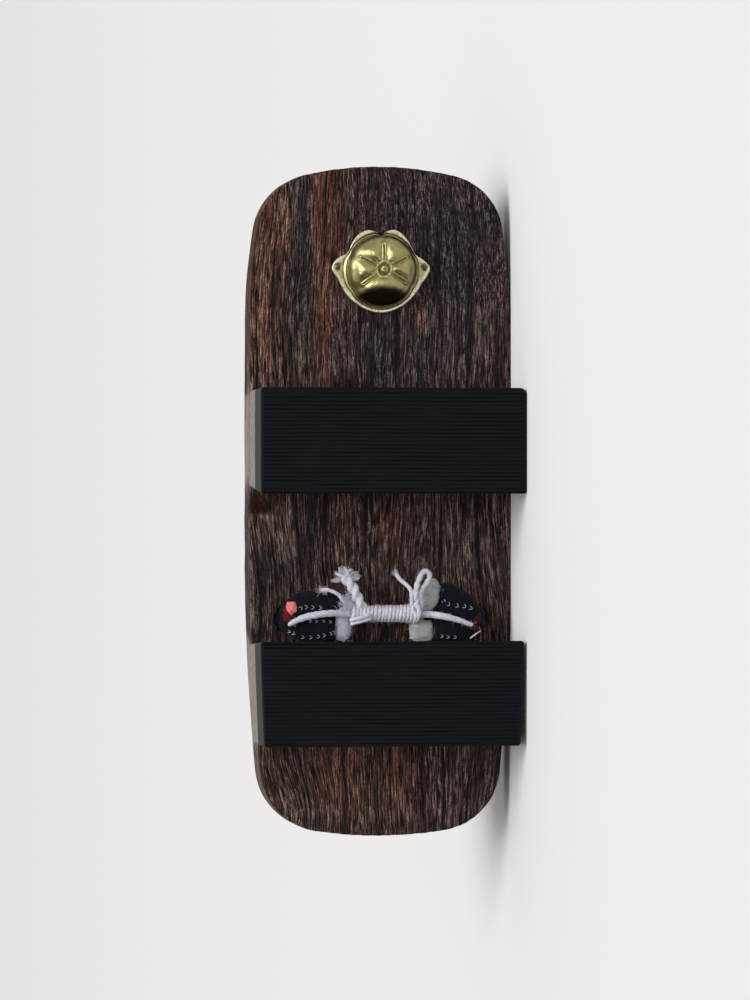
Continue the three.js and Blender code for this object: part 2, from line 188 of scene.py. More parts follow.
def raise_surface(piece, height):
    """Moves each point along its normal by height(x, y, z), in millimetres."""
    x, y, z = points_of(piece).T
    normals = np.empty(len(x) * 3, np.float32)
    piece.data.vertex_normals.foreach_get("vector", normals)
    turned = standing(normals.reshape(-1, 3) * MM) - standing(np.zeros(3))
    moved = np.stack([x, y, z], -1) + turned * height(x, y, z)[:, None]
    piece.data.vertices.foreach_set("co", in_frame(moved).astype(np.float32).ravel())
    piece.data.update()


def write_attribute(piece, name, values):
    """Stores a number or a vector at each point, for the material to read."""
    kind, key = ("FLOAT", "value") if values.ndim == 1 else ("FLOAT_VECTOR", "vector")
    attribute = piece.data.attributes.new(name, kind, "POINT")
    attribute.data.foreach_set(key, values.astype(np.float32).ravel())


# ---------------------------------------------------------------- materials

def linear(hex_colour):
    """An sRGB colour such as #8a7466 as linear red, green and blue, and 1."""
    value = np.array([int(hex_colour[at:at + 2], 16) for at in (1, 3, 5)]) / 255
    return (*np.where(value <= 0.04045, value / 12.92, ((value + 0.055) / 1.055) ** 2.4), 1.0)


def add_node(tree, kind, inputs=None, **settings):
    """Adds a node with its settings; each input gets a value or a link from another node's output."""
    made = tree.nodes.new(kind)
    for key, value in settings.items():
        setattr(made, key, value)
    for key, value in (inputs or {}).items():
        if isinstance(value, bpy.types.NodeSocket):
            tree.links.new(value, made.inputs[key])
        else:
            made.inputs[key].default_value = value
    return made


def new_material(name):
    """A material with one Principled shader: returns the material, its node tree and the shader."""
    material = bpy.data.materials.new(name)
    material.use_nodes = True
    tree = material.node_tree
    return material, tree, tree.nodes["Principled BSDF"]


def stained_wood():
    """Paulownia, charred, wire-brushed and stained: the soft wood is brushed out between the hard fibres,
    so the eye gets pale broken flecks along the grain over near-black furrows, in bands of red-brown,
    purple-brown and blue-black. Flecks are about 0.5 mm wide and 3 to 6 mm long where they catch the light,
    grit breaks them up, and a dark growth line runs every few millimetres."""
    material, tree, shader = new_material("charred_stained_wood")
    grain = add_node(tree, "ShaderNodeAttribute", attribute_name="grain").outputs["Vector"]
    # Fields of noise: their size in millimetres along, across and through the grain.
    fields = {
        "fleck": (6, 0.46, 0.8), "streak": (34, 1.7, 1.6), "pore": (9, 0.55, 0.9), "line": (120, 1.5, 3),
        "band": (90, 7, 12), "hue": (45, 4, 9), "cloud": (13, 5, 6), "dash": (3, 0.7, 0.8),
        "grit": (0.9, 0.45, 0.5),
    }
    # Shares made from a field: where they start and end, and their value at each.
    shares = {
        "in_band": ("band", 0.38, 0.62, 0, 1), "in_hue": ("hue", 0.3, 0.6, 0, 1),
        "in_cloud": ("cloud", 0.3, 0.65, 0, 1), "long_gap": ("streak", 0.38, 0.64, 0.1, 1.35),
        "short_gap": ("dash", 0.36, 0.6, 0.35, 1.15), "in_fleck": ("fleck", 0.44, 0.62, 0, 1),
        "strength": ("light", 0, 1, 0.4, 1.5), "gritty": ("grit", 0.34, 0.64, 0.3, 1.5),
        "grey_mottle": ("grit", 0.5, 0.72, 0, 0.5), "in_pore": ("pore", 0.505, 0.435, 0, 0.96),
        "in_line": ("line", 0.43, 0.37, 0, 0.9), "cut": ("furrow", 0, 1, 0, 0.8),
        "in_streak": ("streak", 0.35, 0.65, 0, 1), "in_dash": ("dash", 0.42, 0.6, 0, 1),
        "ruddy": ("warm", 0.05, 0.4, 0, 1),
    }
    # Shares made by multiplying two others, in this order.
    products = [
        ("reddened", "in_hue", "warm"), ("clouded", "light", "in_cloud"), ("broken", "long_gap", "short_gap"),
        ("stood", "in_fleck", "strength"), ("whole", "broken", "stood"), ("caught", "whole", "gritty"),
    ]
    value = {name: add_node(tree, "ShaderNodeAttribute", attribute_name=name).outputs["Fac"]
             for name in ("warm", "light", "pale", "chip", "furrow")}
    for number, (part, size) in enumerate(fields.items()):
        placed = add_node(tree, "ShaderNodeMapping", {
            "Vector": grain, "Location": (number * 7.3,) * 3,
            "Scale": [1 / s for s in size]}).outputs["Vector"]
        value[part] = add_node(tree, "ShaderNodeTexNoise", {
            "Vector": placed, "Scale": 1.0, "Detail": 3.0, "Roughness": 0.65}).outputs["Fac"]
    for name, (part, low, high, first, last) in shares.items():
        value[name] = add_node(tree, "ShaderNodeMapRange", {
            "Value": value[part], "From Min": low, "From Max": high, "To Min": first,
            "To Max": last}).outputs["Result"]
    for name, first, second in products:
        value[name] = add_node(tree, "ShaderNodeMath", {0: value[first], 1: value[second]},
                               operation="MULTIPLY").outputs["Value"]
    # Colours that are mixed from two by a share.
    mixed = {}
    for name, share, rows in (
            ("fibre", "warm", ("#a89895", "#bf947c")),
            ("ruddy_bared", "in_streak", ("#8d7a72", "#c4b1a8")),
            ("grey_bared", "in_streak", ("#918b86", "#cfcbc6")),
            ("splinter", "in_dash", ("#0a0504", "#3f1e12")),
            ("wood", "in_band", ("#0e0e14", "#1c1214"))):
        mixed[name] = add_node(tree, "ShaderNodeMix", {
            "Factor": value[share], "A": linear(rows[0]), "B": linear(rows[1])},
            data_type="RGBA").outputs["Result"]
    wood = mixed["wood"]
    bared = add_node(tree, "ShaderNodeMix", {
        "Factor": value["ruddy"], "A": mixed["grey_bared"], "B": mixed["ruddy_bared"]},
        data_type="RGBA").outputs["Result"]
    # Covers laid over the stained wood one after another, each by its share; the chip comes last.
    for share, colour in (
            ("reddened", linear("#501c13")), ("clouded", linear("#4a382f")), ("grey_mottle", linear("#463b3b")),
            ("caught", mixed["fibre"]), ("in_pore", linear("#030202")), ("in_line", linear("#050405")),
            ("cut", linear("#070606")), ("pale", bared), ("chip", mixed["splinter"])):
        wood = add_node(tree, "ShaderNodeMix", {
            "Factor": value[share], "A": wood, "B": colour}, data_type="RGBA").outputs["Result"]
    tree.links.new(wood, shader.inputs["Base Color"])
    height = add_node(tree, "ShaderNodeMath", {0: value["caught"], 1: value["pore"]}, operation="ADD")
    bump = add_node(tree, "ShaderNodeBump", {
        "Height": height.outputs["Value"], "Strength": 0.8, "Distance": 0.3 * MM}).outputs["Normal"]
    tree.links.new(bump, shader.inputs["Normal"])
    shader.inputs["Roughness"].default_value = 0.66
    shader.inputs["Specular IOR Level"].default_value = 0.1
    return material


def bare_wood():
    """Unstained paulownia, sawn and gone grey: pale, dry and matt, with thin brown growth lines."""
    material, tree, shader = new_material("sawn_bare_wood")
    grain = add_node(tree, "ShaderNodeAttribute", attribute_name="grain").outputs["Vector"]
    placed = add_node(tree, "ShaderNodeMapping", {
        "Vector": grain, "Scale": (1 / 40, 1 / 0.9, 1 / 4)}).outputs["Vector"]
    lines = add_node(tree, "ShaderNodeTexNoise", {
        "Vector": placed, "Scale": 1.0, "Detail": 3.0, "Roughness": 0.6}).outputs["Fac"]
    share = add_node(tree, "ShaderNodeMapRange", {
        "Value": lines, "From Min": 0.3, "From Max": 0.7}).outputs["Result"]
    colour = add_node(tree, "ShaderNodeMix", {
        "Factor": share, "A": linear("#6d6560"), "B": linear("#a39c96")}, data_type="RGBA").outputs["Result"]
    tree.links.new(colour, shader.inputs["Base Color"])
    bump = add_node(tree, "ShaderNodeBump", {
        "Height": lines, "Strength": 0.4, "Distance": 0.15 * MM}).outputs["Normal"]
    tree.links.new(bump, shader.inputs["Normal"])
    shader.inputs["Roughness"].default_value = 0.8
    return material


def sole_rubber():
    """Closed-cell sole rubber, moulded in sheets with fine ribs and sawn to the tooth: matt blue-black,
    darker between the ribs; its sawn sides are a paler, mottled grey, and its pores are a quarter of a
    millimetre."""
    material, tree, shader = new_material("ribbed_sole_rubber")
    place = add_node(tree, "ShaderNodeTexCoord").outputs["Object"]
    sawn = add_node(tree, "ShaderNodeAttribute", attribute_name="sawn").outputs["Fac"]
    rib = add_node(tree, "ShaderNodeAttribute", attribute_name="rib").outputs["Fac"]
    grey_mottle = add_node(tree, "ShaderNodeTexNoise", {
        "Vector": place, "Scale": 1 / (2 * MM), "Detail": 5.0, "Roughness": 0.7}).outputs["Fac"]
    face = add_node(tree, "ShaderNodeMix", {
        "Factor": rib, "A": linear("#010202"), "B": linear("#0f1216")}, data_type="RGBA").outputs["Result"]
    side = add_node(tree, "ShaderNodeMix", {
        "Factor": grey_mottle, "A": linear("#3a3d3a"), "B": linear("#525652")}, data_type="RGBA").outputs["Result"]
    colour = add_node(tree, "ShaderNodeMix", {
        "Factor": sawn, "A": face, "B": side}, data_type="RGBA").outputs["Result"]
    tree.links.new(colour, shader.inputs["Base Color"])
    pores = add_node(tree, "ShaderNodeTexNoise", {
        "Vector": place, "Scale": 1 / (0.25 * MM), "Detail": 2.0}).outputs["Fac"]
    bump = add_node(tree, "ShaderNodeBump", {
        "Height": pores, "Strength": 0.35, "Distance": 0.08 * MM}).outputs["Normal"]
    tree.links.new(bump, shader.inputs["Normal"])
    shader.inputs["Roughness"].default_value = 0.7
    shader.inputs["Specular IOR Level"].default_value = 0.07
    return material


def stamped_brass():
    """Sheet brass, stamped and left with a thin lacquer: satin olive gold with fine hammer marks. Along the
    flange's edge a pale band is rubbed wear and a painted highlight of the rolled edge; the creases are dark
    with tarnish, the dome's wall and the crevice at its foot have painted shade, and the dome's low,
    heel-ward part is a painted dark reflection, near black."""
    material, tree, shader = new_material("stamped_brass")
    place = add_node(tree, "ShaderNodeTexCoord").outputs["Object"]
    cloud = add_node(tree, "ShaderNodeTexNoise", {
        "Vector": place, "Scale": 1 / (3 * MM), "Detail": 4.0, "Roughness": 0.6}).outputs["Fac"]
    colour = add_node(tree, "ShaderNodeMix", {
        "Factor": cloud, "A": linear("#989060"), "B": linear("#b3ab7a")}, data_type="RGBA").outputs["Result"]
    # Covers by attribute: a pale edge band of rubbed wear and painted highlight, tarnish with painted shade,
    # and a painted dark reflection.
    for name, cover in (("rubbed_and_edge_highlight", "#dfdaba"), ("tarnish_and_shade", "#25230a"), ("painted_dark_reflection", "#0f0d04")):
        share = add_node(tree, "ShaderNodeAttribute", attribute_name=name).outputs["Fac"]
        colour = add_node(tree, "ShaderNodeMix", {
            "Factor": share, "A": colour, "B": linear(cover)}, data_type="RGBA").outputs["Result"]
    tree.links.new(colour, shader.inputs["Base Color"])
    rough = add_node(tree, "ShaderNodeMapRange", {
        "Value": cloud, "From Min": 0.3, "From Max": 0.7, "To Min": 0.34, "To Max": 0.46}).outputs["Result"]
    tree.links.new(rough, shader.inputs["Roughness"])
    marks = add_node(tree, "ShaderNodeTexNoise", {
        "Vector": place, "Scale": 1 / (0.7 * MM), "Detail": 2.0}).outputs["Fac"]
    bump = add_node(tree, "ShaderNodeBump", {
        "Height": marks, "Strength": 0.25, "Distance": 0.08 * MM}).outputs["Normal"]
    tree.links.new(bump, shader.inputs["Normal"])
    shader.inputs["Metallic"].default_value = 1.0
    return material


def woven_cloth(name, dark, light, thread, sheen):
    """Plain-woven cotton on its own map in millimetres: a small hill at each crossing, from the product of a
    sine along each way, with a thread's worth of colour change and a soft sheen at the edge."""
    material, tree, shader = new_material(name)
    place = add_node(tree, "ShaderNodeUVMap", uv_map="UVMap").outputs["UV"]
    apart = add_node(tree, "ShaderNodeSeparateXYZ", {"Vector": place})
    waves = []
    for axis in ("X", "Y"):
        angle = add_node(tree, "ShaderNodeMath", {
            0: apart.outputs[axis], 1: np.pi / thread}, operation="MULTIPLY").outputs["Value"]
        waves.append(add_node(tree, "ShaderNodeMath", {0: angle}, operation="SINE").outputs["Value"])
    weave = add_node(tree, "ShaderNodeMath", {0: waves[0], 1: waves[1]},
                     operation="MULTIPLY").outputs["Value"]
    slub = add_node(tree, "ShaderNodeTexNoise", {
        "Vector": place, "Scale": 0.7, "Detail": 4.0, "Roughness": 0.7}).outputs["Fac"]
    mixed = add_node(tree, "ShaderNodeMath", {0: weave, 1: 0.18, 2: slub}, operation="MULTIPLY_ADD")
    colour = add_node(tree, "ShaderNodeMix", {
        "Factor": mixed.outputs["Value"], "A": linear(dark), "B": linear(light)},
        data_type="RGBA").outputs["Result"]
    tree.links.new(colour, shader.inputs["Base Color"])
    bump = add_node(tree, "ShaderNodeBump", {
        "Height": weave, "Strength": 0.5, "Distance": 0.12 * MM}).outputs["Normal"]
    tree.links.new(bump, shader.inputs["Normal"])
    shader.inputs["Roughness"].default_value = 0.9
    shader.inputs["Sheen Weight"].default_value = sheen
    shader.inputs["Specular IOR Level"].default_value = 0.12
    return material


def spun_cotton(name, shade, white):
    """Spun cotton yarn on its own map in millimetres, first across and then along the fibres: white and matt,
    with painted grey-lavender shade in the hollows between fibres drawn about 0.3 mm apart so that they show."""
    material, tree, shader = new_material(name)
    place = add_node(tree, "ShaderNodeUVMap", uv_map="UVMap").outputs["UV"]
    drawn = add_node(tree, "ShaderNodeMapping", {
        "Vector": place, "Scale": (1 / 0.3, 1 / 2.5, 1)}).outputs["Vector"]
    fibres = add_node(tree, "ShaderNodeTexNoise", {
        "Vector": drawn, "Scale": 1.0, "Detail": 3.0, "Roughness": 0.7}).outputs["Fac"]
    share = add_node(tree, "ShaderNodeMapRange", {
        "Value": fibres, "From Min": 0.32, "From Max": 0.58}).outputs["Result"]
    colour = add_node(tree, "ShaderNodeMix", {
        "Factor": share, "A": linear(shade), "B": linear(white)}, data_type="RGBA").outputs["Result"]
    tree.links.new(colour, shader.inputs["Base Color"])
    bump = add_node(tree, "ShaderNodeBump", {
        "Height": fibres, "Strength": 0.9, "Distance": 0.3 * MM}).outputs["Normal"]
    tree.links.new(bump, shader.inputs["Normal"])
    shader.inputs["Roughness"].default_value = 0.95
    shader.inputs["Sheen Weight"].default_value = 0.3
    return material


def floor_paper():
    """Matt seamless paper, pale warm grey, a little greyer farther behind the clog."""
    material, tree, shader = new_material("seamless_paper")
    place = add_node(tree, "ShaderNodeTexCoord").outputs["Object"]
    apart = add_node(tree, "ShaderNodeSeparateXYZ", {"Vector": place})
    behind = add_node(tree, "ShaderNodeMapRange", {
        "Value": apart.outputs["Y"], "From Min": 0.2, "From Max": 3.5}).outputs["Result"]
    colour = add_node(tree, "ShaderNodeMix", {
        "Factor": behind, "A": linear("#ebeae9"), "B": linear("#dfdedd")}, data_type="RGBA").outputs["Result"]
    tree.links.new(colour, shader.inputs["Base Color"])
    shader.inputs["Roughness"].default_value = 0.95
    shader.inputs["Specular IOR Level"].default_value = 0.0
    return material


STAINED_WOOD = stained_wood()
BARE_WOOD = bare_wood()
RUBBER = sole_rubber()
BRASS = stamped_brass()
STRAP_CLOTH = woven_cloth("black_strap_cloth", "#040508", "#11151f", 0.7, 0.05)
LINING_CLOTH = woven_cloth("red_lining_cloth", "#c4423c", "#ff9c8e", 0.5, 0.2)
# Darker copies of the red lining. The first is the straps' own lining and, as painted shade, the lower fold
# of a lining end by the right hole; the second is deeper painted shade on the lining ends by the left hole
# and on the red lint.
DARK_LINING = woven_cloth("shaded_lining_cloth", "#3c090d", "#7c1b22", 0.5, 0.1)
DEEP_SHADE_LINING = woven_cloth("deep_shade_lining_cloth", "#1f0509", "#470f18", 0.5, 0.1)
PAD_CLOTH = woven_cloth("pale_padding_cloth", "#868b8e", "#d0d4d2", 0.6, 0.3)
PAD_COTTON = woven_cloth("white_padding_cotton", "#a5a6b5", "#e6e6f2", 0.6, 0.4)
CORD_COTTON = spun_cotton("white_cotton_cord", "#8e8ca3", "#e6e5ef")

# ---------------------------------------------------------------- the camera

# The camera looks at the treads from a little above, rolled so that the toe is up in the picture. Its
# elevation is in radians, its lens and sensor in millimetres.
CAMERA_ELEVATION = 0.1397
CAMERA_DISTANCE = 1971.5 * MM
CAMERA_LENS = 178.76
CAMERA_SENSOR = 36
AIM = Vector((0.2 * MM, board_low.y, (HALF_WIDTH + 2.32) * MM))


def place_camera():
    ahead = Vector((0, np.cos(CAMERA_ELEVATION), -np.sin(CAMERA_ELEVATION)))
    up = Vector((1, 0, 0))
    turn = Matrix((ahead.cross(up), up, -ahead)).transposed()
    data = bpy.data.cameras.new("camera")
    data.lens = CAMERA_LENS
    data.sensor_width = CAMERA_SENSOR
    data.clip_end = 100
    camera = bpy.data.objects.new("camera", data)
    camera.matrix_world = Matrix.Translation(AIM - ahead * CAMERA_DISTANCE) @ turn.to_4x4()
    bpy.context.scene.collection.objects.link(camera)
    bpy.context.scene.camera = camera


place_camera()

# ---------------------------------------------------------------- the tie cords

DOWN = (0.0, 0.0, -1.0)
REAR_HOLE_X, REAR_HOLE_Y, REAR_HOLE_RADIUS = -47.0, 37.0, 5.5
WINDING_X, WINDING_Z = -44.8, 32.0

# The right cord comes out of its hole, runs through the winding and doubles back as the loop.
RIGHT_CORD = [
    (-49.2, -38.4, 27.6), (-47.4, -35.2, 27.4), (-45.9, -31.2, 27.3), (-44.9, -26, 27.4),
    (-44.5, -20.5, 28.4), (-44.6, -15.6, 30.2), (-44.8, -8, 30.7), (-44.8, 2, 30.7), (-45, 8.5, 30.7),
    (-43, 12.5, 29.8), (-39.5, 12.9, 28.4), (-36.2, 12.4, 27.6), (-31.8, 13.5, 27.4), (-28.5, 15.1, 27.3),
    (-27.6, 16.9, 27.6), (-29.8, 18.2, 28), (-33, 16.6, 28.2), (-36.4, 14.3, 28.6), (-39.4, 14.7, 29.2),
    (-42.2, 15, 30), (-44.4, 14.2, 31.4),
]
# The left cord comes out of its hole, runs through the winding and ends in the twisted tail.
LEFT_CORD = [
    (-50, 37, 27.6), (-48.8, 33.6, 27.4), (-47.2, 29.2, 27.3), (-46, 24.4, 27.6), (-45.3, 20.4, 28.7),
    (-45, 16.8, 30.4), (-44.9, 10, 33), (-44.8, 2, 33.3), (-44.6, -5.5, 33),
    (-41.4, -9.3, 30.4), (-38, -10.6, 29.8), (-34.4, -12.4, 30), (-31.2, -14.6, 30.8), (-29, -15.6, 31.6),
]
# After its last turn the winding's own end climbs beside the loop and leaves it.
WINDING_END = [
    (-41.6, 11.1, 28.4), (-38.5, 10.9, 28), (-35.5, 10.6, 28.2), (-33.3, 8.9, 28.8), (-31.2, 6.5, 29.6),
    (-28.9, 4.9, 30.4),
]


def even_path(rows, step=0.4, passes=14):
    """A cord's middle line at even steps along its rows, with each point drawn towards the mean of its two
    neighbours a few times, so that no bend is a corner."""
    fine = curve_through(rows, 40)
    run = length_along(fine)
    places = np.linspace(0, run[-1], int(run[-1] / step) + 1)
    path = np.stack([np.interp(places, run, fine[:, axis]) for axis in range(3)], -1)
    for _ in range(passes):
        path[1:-1] = (path[:-2] + 2 * path[1:-1] + path[2:]) / 4
    return path


def cord_grid(path, radius, pitch, depth=0.12, around=28, reference=DOWN):
    """A cord of two plies twisted along a path. At angle p round it the radius is r(1 - d + d|cos(q)|), where
    q is p less a whole turn each pitch; both ends are rounded off. The map is in millimetres: round the
    twist, then along."""
    run = length_along(path)[:, None]
    angle = np.linspace(0, 2 * np.pi, around + 1)[None, :]
    twist = angle - 2 * np.pi * run / pitch
    radius, depth = np.reshape(radius, (-1, 1)), np.reshape(depth, (-1, 1))
    end = np.minimum(run, run[-1] - run) / radius.max()
    rounded = np.sqrt(np.clip(1 - (1 - np.clip(end, 0, 1)) ** 2, 0.02, 1))
    reach = radius * rounded * (1 - depth + depth * np.abs(np.cos(twist)))
    _, normal, across = square_frames(path, reference)
    rings = path[:, None] + reach[..., None] * (
        np.cos(angle)[..., None] * across[:, None] + np.sin(angle)[..., None] * normal[:, None])
    maps = np.stack([twist * radius.max(), np.broadcast_to(run, twist.shape)], -1)
    return closed_ends(rings), np.concatenate([maps[:1], maps, maps[-1:]])


def right_cord():
    """A plain two-ply cord; it thins where it is doubled as the loop."""
    path = even_path(RIGHT_CORD)
    share = np.linspace(0, 1, len(path))
    radius = (1.4 - 0.3 * ease(share, 0.5, 0.75)) * (0.7 + 0.3 * ease(share, 0, 0.09))
    grid, uv = cord_grid(path, radius, depth=0.12 + 0.16 * ease(share, 0.45, 0.6), pitch=6)
    piece = add_mesh("tie_cord_right_and_loop", [grid], [uv])
    finish_piece(piece, CORD_COTTON, "cotton_cord", "tie_cord_right", "tie_loop")


def left_cord():
    """A plain two-ply cord whose tail is opened and twisted hard, so that its two plies stand out."""
    path = even_path(LEFT_CORD)
    share = np.linspace(0, 1, len(path))
    tail = ease(share, 0.68, 0.76)
    radius = (1.4 + 0.95 * tail) * (0.6 + 0.4 * ease(share, 0, 0.25))
    grid, uv = cord_grid(path, radius, depth=0.1 + 0.38 * tail, pitch=8.2, around=36)
    piece = add_mesh("tie_cord_left_and_tail", [grid], [uv])
    finish_piece(piece, CORD_COTTON, "cotton_cord", "tie_cord_left", "tie_tail")


def winding():
    """A thin cord wound round both tie cords as a flattened helix: x and z go round an ellipse while y moves
    on, with the turns a little uneven; then it runs out beside the loop."""
    turns, first, last = 18, -12.9, 13.2
    share = np.linspace(0, 1, turns * 30)
    angle = 2 * np.pi * turns * share + 0.5
    uneven = 0.5 * (noise(share * turns / 1.7, 0.5, 21) - 0.5) * np.sin(np.pi * share)
    swelling = 1 + 0.1 * ease(share, 0.6, 0.9) + 0.22 * ease(share, 0.9, 0.96)
    swelling = swelling + 0.14 * swell(share, 0.04, 0.05) + 0.16 * (noise(share * turns, 0.5, 22) - 0.5)
    helix = np.stack([
        WINDING_X + 2.55 * swelling * np.cos(angle),
        first + (last - first) * share + 2 * uneven + 0.25 * np.sin(angle + 0.6),
        WINDING_Z + 3.5 * swelling * np.sin(angle),
    ], -1)
    path = np.vstack([helix[:-12], curve_through([helix[-12], *WINDING_END], 14)])
    thick = 0.85 + 0.14 * (noise(np.linspace(0, turns / 1.3, len(path)), 0.5, 23) - 0.5)
    grid, uv = cord_grid(path, thick, pitch=4.5, around=12, reference=(0, 1, 0))
    piece = add_mesh("tie_winding_and_end", [grid], [uv])
    finish_piece(piece, CORD_COTTON, "cotton_cord", "tie_winding", "tie_end")


right_cord()
left_cord()
winding()

# ---------------------------------------------------------------- the floor and the light

def set_stage():
    side = 8000
    corners = np.array([[[-side, HALF_WIDTH, -side], [-side, HALF_WIDTH, side]],
                        [[side, HALF_WIDTH, -side], [side, HALF_WIDTH, side]]], float)
    floor = add_mesh("floor", [corners])
    floor.data.materials.append(floor_paper())
    if floor.data.polygons[0].normal.z < 0:
        floor.data.flip_normals()


def add_sun(name, strength, direction, spread):
    """A soft distant light that shines along a direction."""
    data = bpy.data.lights.new(name, "SUN")
    data.energy = strength
    data.angle = np.radians(spread)
    sun = bpy.data.objects.new(name, data)
    sun.rotation_euler = Vector(direction).to_track_quat("-Z", "Y").to_euler()
    bpy.context.scene.collection.objects.link(sun)


# Where the pale wall of the room stands: towards the toe, above and before the treads.
BRIGHT_WAY = unit(np.array([0.5, -0.25, 0.8]))


def set_light():
    """A soft key from above, a weak fill from the front, and a room that is pale on the key's side and
    dark on the other, below the heel."""
    add_sun("key", 2.0, (-0.25, 0.55, -1.0), 38)
    add_sun("front_fill", 0.5, (-0.1, 1.0, -0.2), 40)
    world = bpy.data.worlds.new("room")
    world.use_nodes = True
    tree = world.node_tree
    way = add_node(tree, "ShaderNodeTexCoord").outputs["Generated"]
    towards = add_node(tree, "ShaderNodeVectorMath", {0: way, 1: BRIGHT_WAY}, operation="DOT_PRODUCT")
    share = add_node(tree, "ShaderNodeMapRange", {
        "Value": towards.outputs["Value"], "From Min": -0.2, "From Max": 0.75}).outputs["Result"]
    colour = add_node(tree, "ShaderNodeMix", {
        "Factor": share, "A": linear("#2a2a2a"), "B": linear("#ffffff")}, data_type="RGBA").outputs["Result"]
    tree.links.new(colour, tree.nodes["Background"].inputs["Color"])
    tree.nodes["Background"].inputs["Strength"].default_value = 0.62
    bpy.context.scene.world = world
    bpy.context.scene.view_settings.view_transform = "Standard"


set_stage()
set_light()

# ---------------------------------------------------------------- blocks: board, teeth and treads

# Each end of the board is an end arc, a corner arc and a long side arc, each tangent to the next: how far it
# reaches from mid-length, the radius of each arc, and how far from mid-length the side is straight.
TOE_END = {"reach": 132.8, "end": 130, "corner": 25, "side": 258, "straight_to": 67.6}
HEEL_END = {"reach": 133.3, "end": 168, "corner": 26.5, "side": 900, "straight_to": 21}
# The teeth's ends follow a longer arc, which starts behind mid-length.
TOOTH_END = {"side": 1750, "straight_to": 14}


def quarter_outline(reach, end, corner, side, straight_to, points=80):
    """A quarter of the board's outline from the end of the centre line to the straight side, as three arcs,
    and the point halfway round the corner arc."""
    end_centre = np.array([reach - end, 0.0])
    side_centre = np.array([straight_to, HALF_WIDTH - side])
    to_end, to_side = end - corner, side - corner
    apart = np.linalg.norm(side_centre - end_centre)
    line = (side_centre - end_centre) / apart
    along = (to_end**2 - to_side**2 + apart**2) / (2 * apart)
    off = np.sqrt(to_end**2 - along**2)
    corner_centre = end_centre + along * line + off * np.array([-line[1], line[0]])
    end_angle = np.arctan2(*(corner_centre - end_centre)[::-1])
    side_angle = np.arctan2(*(corner_centre - side_centre)[::-1])
    turns = [(end_centre, end, 0, end_angle), (corner_centre, corner, end_angle, side_angle),
             (side_centre, side, side_angle, np.pi / 2)]
    arcs = [centre + radius * np.stack([np.cos(a), np.sin(a)], -1)
            for centre, radius, start, stop in turns for a in [np.linspace(start, stop, points)]]
    return np.vstack(arcs), arcs[1][points // 2]


def side_reach(x):
    """How far a tooth's ends lie from the centre line at x: a straight line, then towards the heel a long
    arc, flatter than the board's own."""
    past = np.clip(-x - TOOTH_END["straight_to"], 0, None)
    return HALF_WIDTH - TOOTH_END["side"] + np.sqrt(TOOTH_END["side"] ** 2 - past**2)


def block_grids(outline, levels, long_count, cross_count):
    """The skin of a block: outline(z) gives its four sides at a height, each running from one corner to the
    next with the toe end first; levels are rows of height and inset. Between its sides each flat face is
    filled by the blend of both long sides plus the blend of both short sides less that of the corners."""
    walls, faces = [], []
    for index, (z, inset) in enumerate(levels):
        toe, left, heel, right = outline(z, long_count, cross_count)
        loop = np.vstack([toe[:-1], left[:-1], heel[:-1], right[:-1]])
        tangent = unit(np.roll(loop, -1, axis=0) - np.roll(loop, 1, axis=0))
        loop = loop + inset * np.stack([-tangent[:, 1], tangent[:, 0]], -1)
        ring = np.column_stack([loop, np.full(len(loop), z)])
        walls.append(np.vstack([ring, ring[:1]]))
        if index in (0, len(levels) - 1):
            turns = np.cumsum([0, cross_count, long_count, cross_count, long_count])
            toe, left, heel, right = (walls[-1][turns[k]:turns[k + 1] + 1] for k in range(4))
            heel, right = heel[::-1], right[::-1]
            a = ((left[:, 0] - left[0, 0]) / (left[-1, 0] - left[0, 0]))[:, None, None]
            b = ((toe[:, 1] - toe[0, 1]) / (toe[-1, 1] - toe[0, 1]))[None, :, None]
            corners = (1 - a) * ((1 - b) * toe[0] + b * toe[-1]) + a * ((1 - b) * heel[0] + b * heel[-1])
            faces.append((1 - a) * toe[None] + a * heel[None] + (1 - b) * right[:, None]
                         + b * left[:, None] - corners)
    return [np.stack(walls), *faces]


def rounded_levels(low, high, low_round, high_round, between):
    """Rows of height and inset for a block whose rims are quarter circles."""
    turn = np.linspace(0, np.pi / 2, 4)
    lower = [(low + low_round * (1 - np.sin(a)), low_round * (1 - np.cos(a))) for a in turn[::-1]]
    upper = [(high - high_round * (1 - np.sin(a)), high_round * (1 - np.cos(a))) for a in turn]
    middle = [(z, 0.0) for z in np.linspace(low + low_round, high - high_round, between + 2)[1:-1]]
    return lower + middle + upper


def board_sides(z, long_count, cross_count):
    """The four sides of the board, which are the same at every height."""
    quarters = [quarter_outline(**TOE_END), quarter_outline(**HEEL_END)]
    (toe_arc, (toe_x, toe_y)), (heel_arc, (heel_x, heel_y)) = quarters
    crosswise = np.linspace(-1, 1, cross_count + 1)
    lengthwise = np.linspace(toe_x, -heel_x, long_count + 1)
    toe = np.stack([np.interp(np.abs(crosswise) * toe_y, toe_arc[:, 1], toe_arc[:, 0]),
                    crosswise * toe_y], -1)
    heel = np.stack([-np.interp(np.abs(crosswise) * heel_y, heel_arc[:, 1], heel_arc[:, 0]),
                     -crosswise * heel_y], -1)
    both = [np.interp(sign * lengthwise, arc[::-1, 0], arc[::-1, 1])
            for sign, arc in ((1, toe_arc), (-1, heel_arc))]
    reach = np.where(lengthwise > 0, both[0], both[1])
    left = np.stack([lengthwise, reach], -1)
    return toe, left, heel, np.stack([lengthwise[::-1], -reach[::-1]], -1)


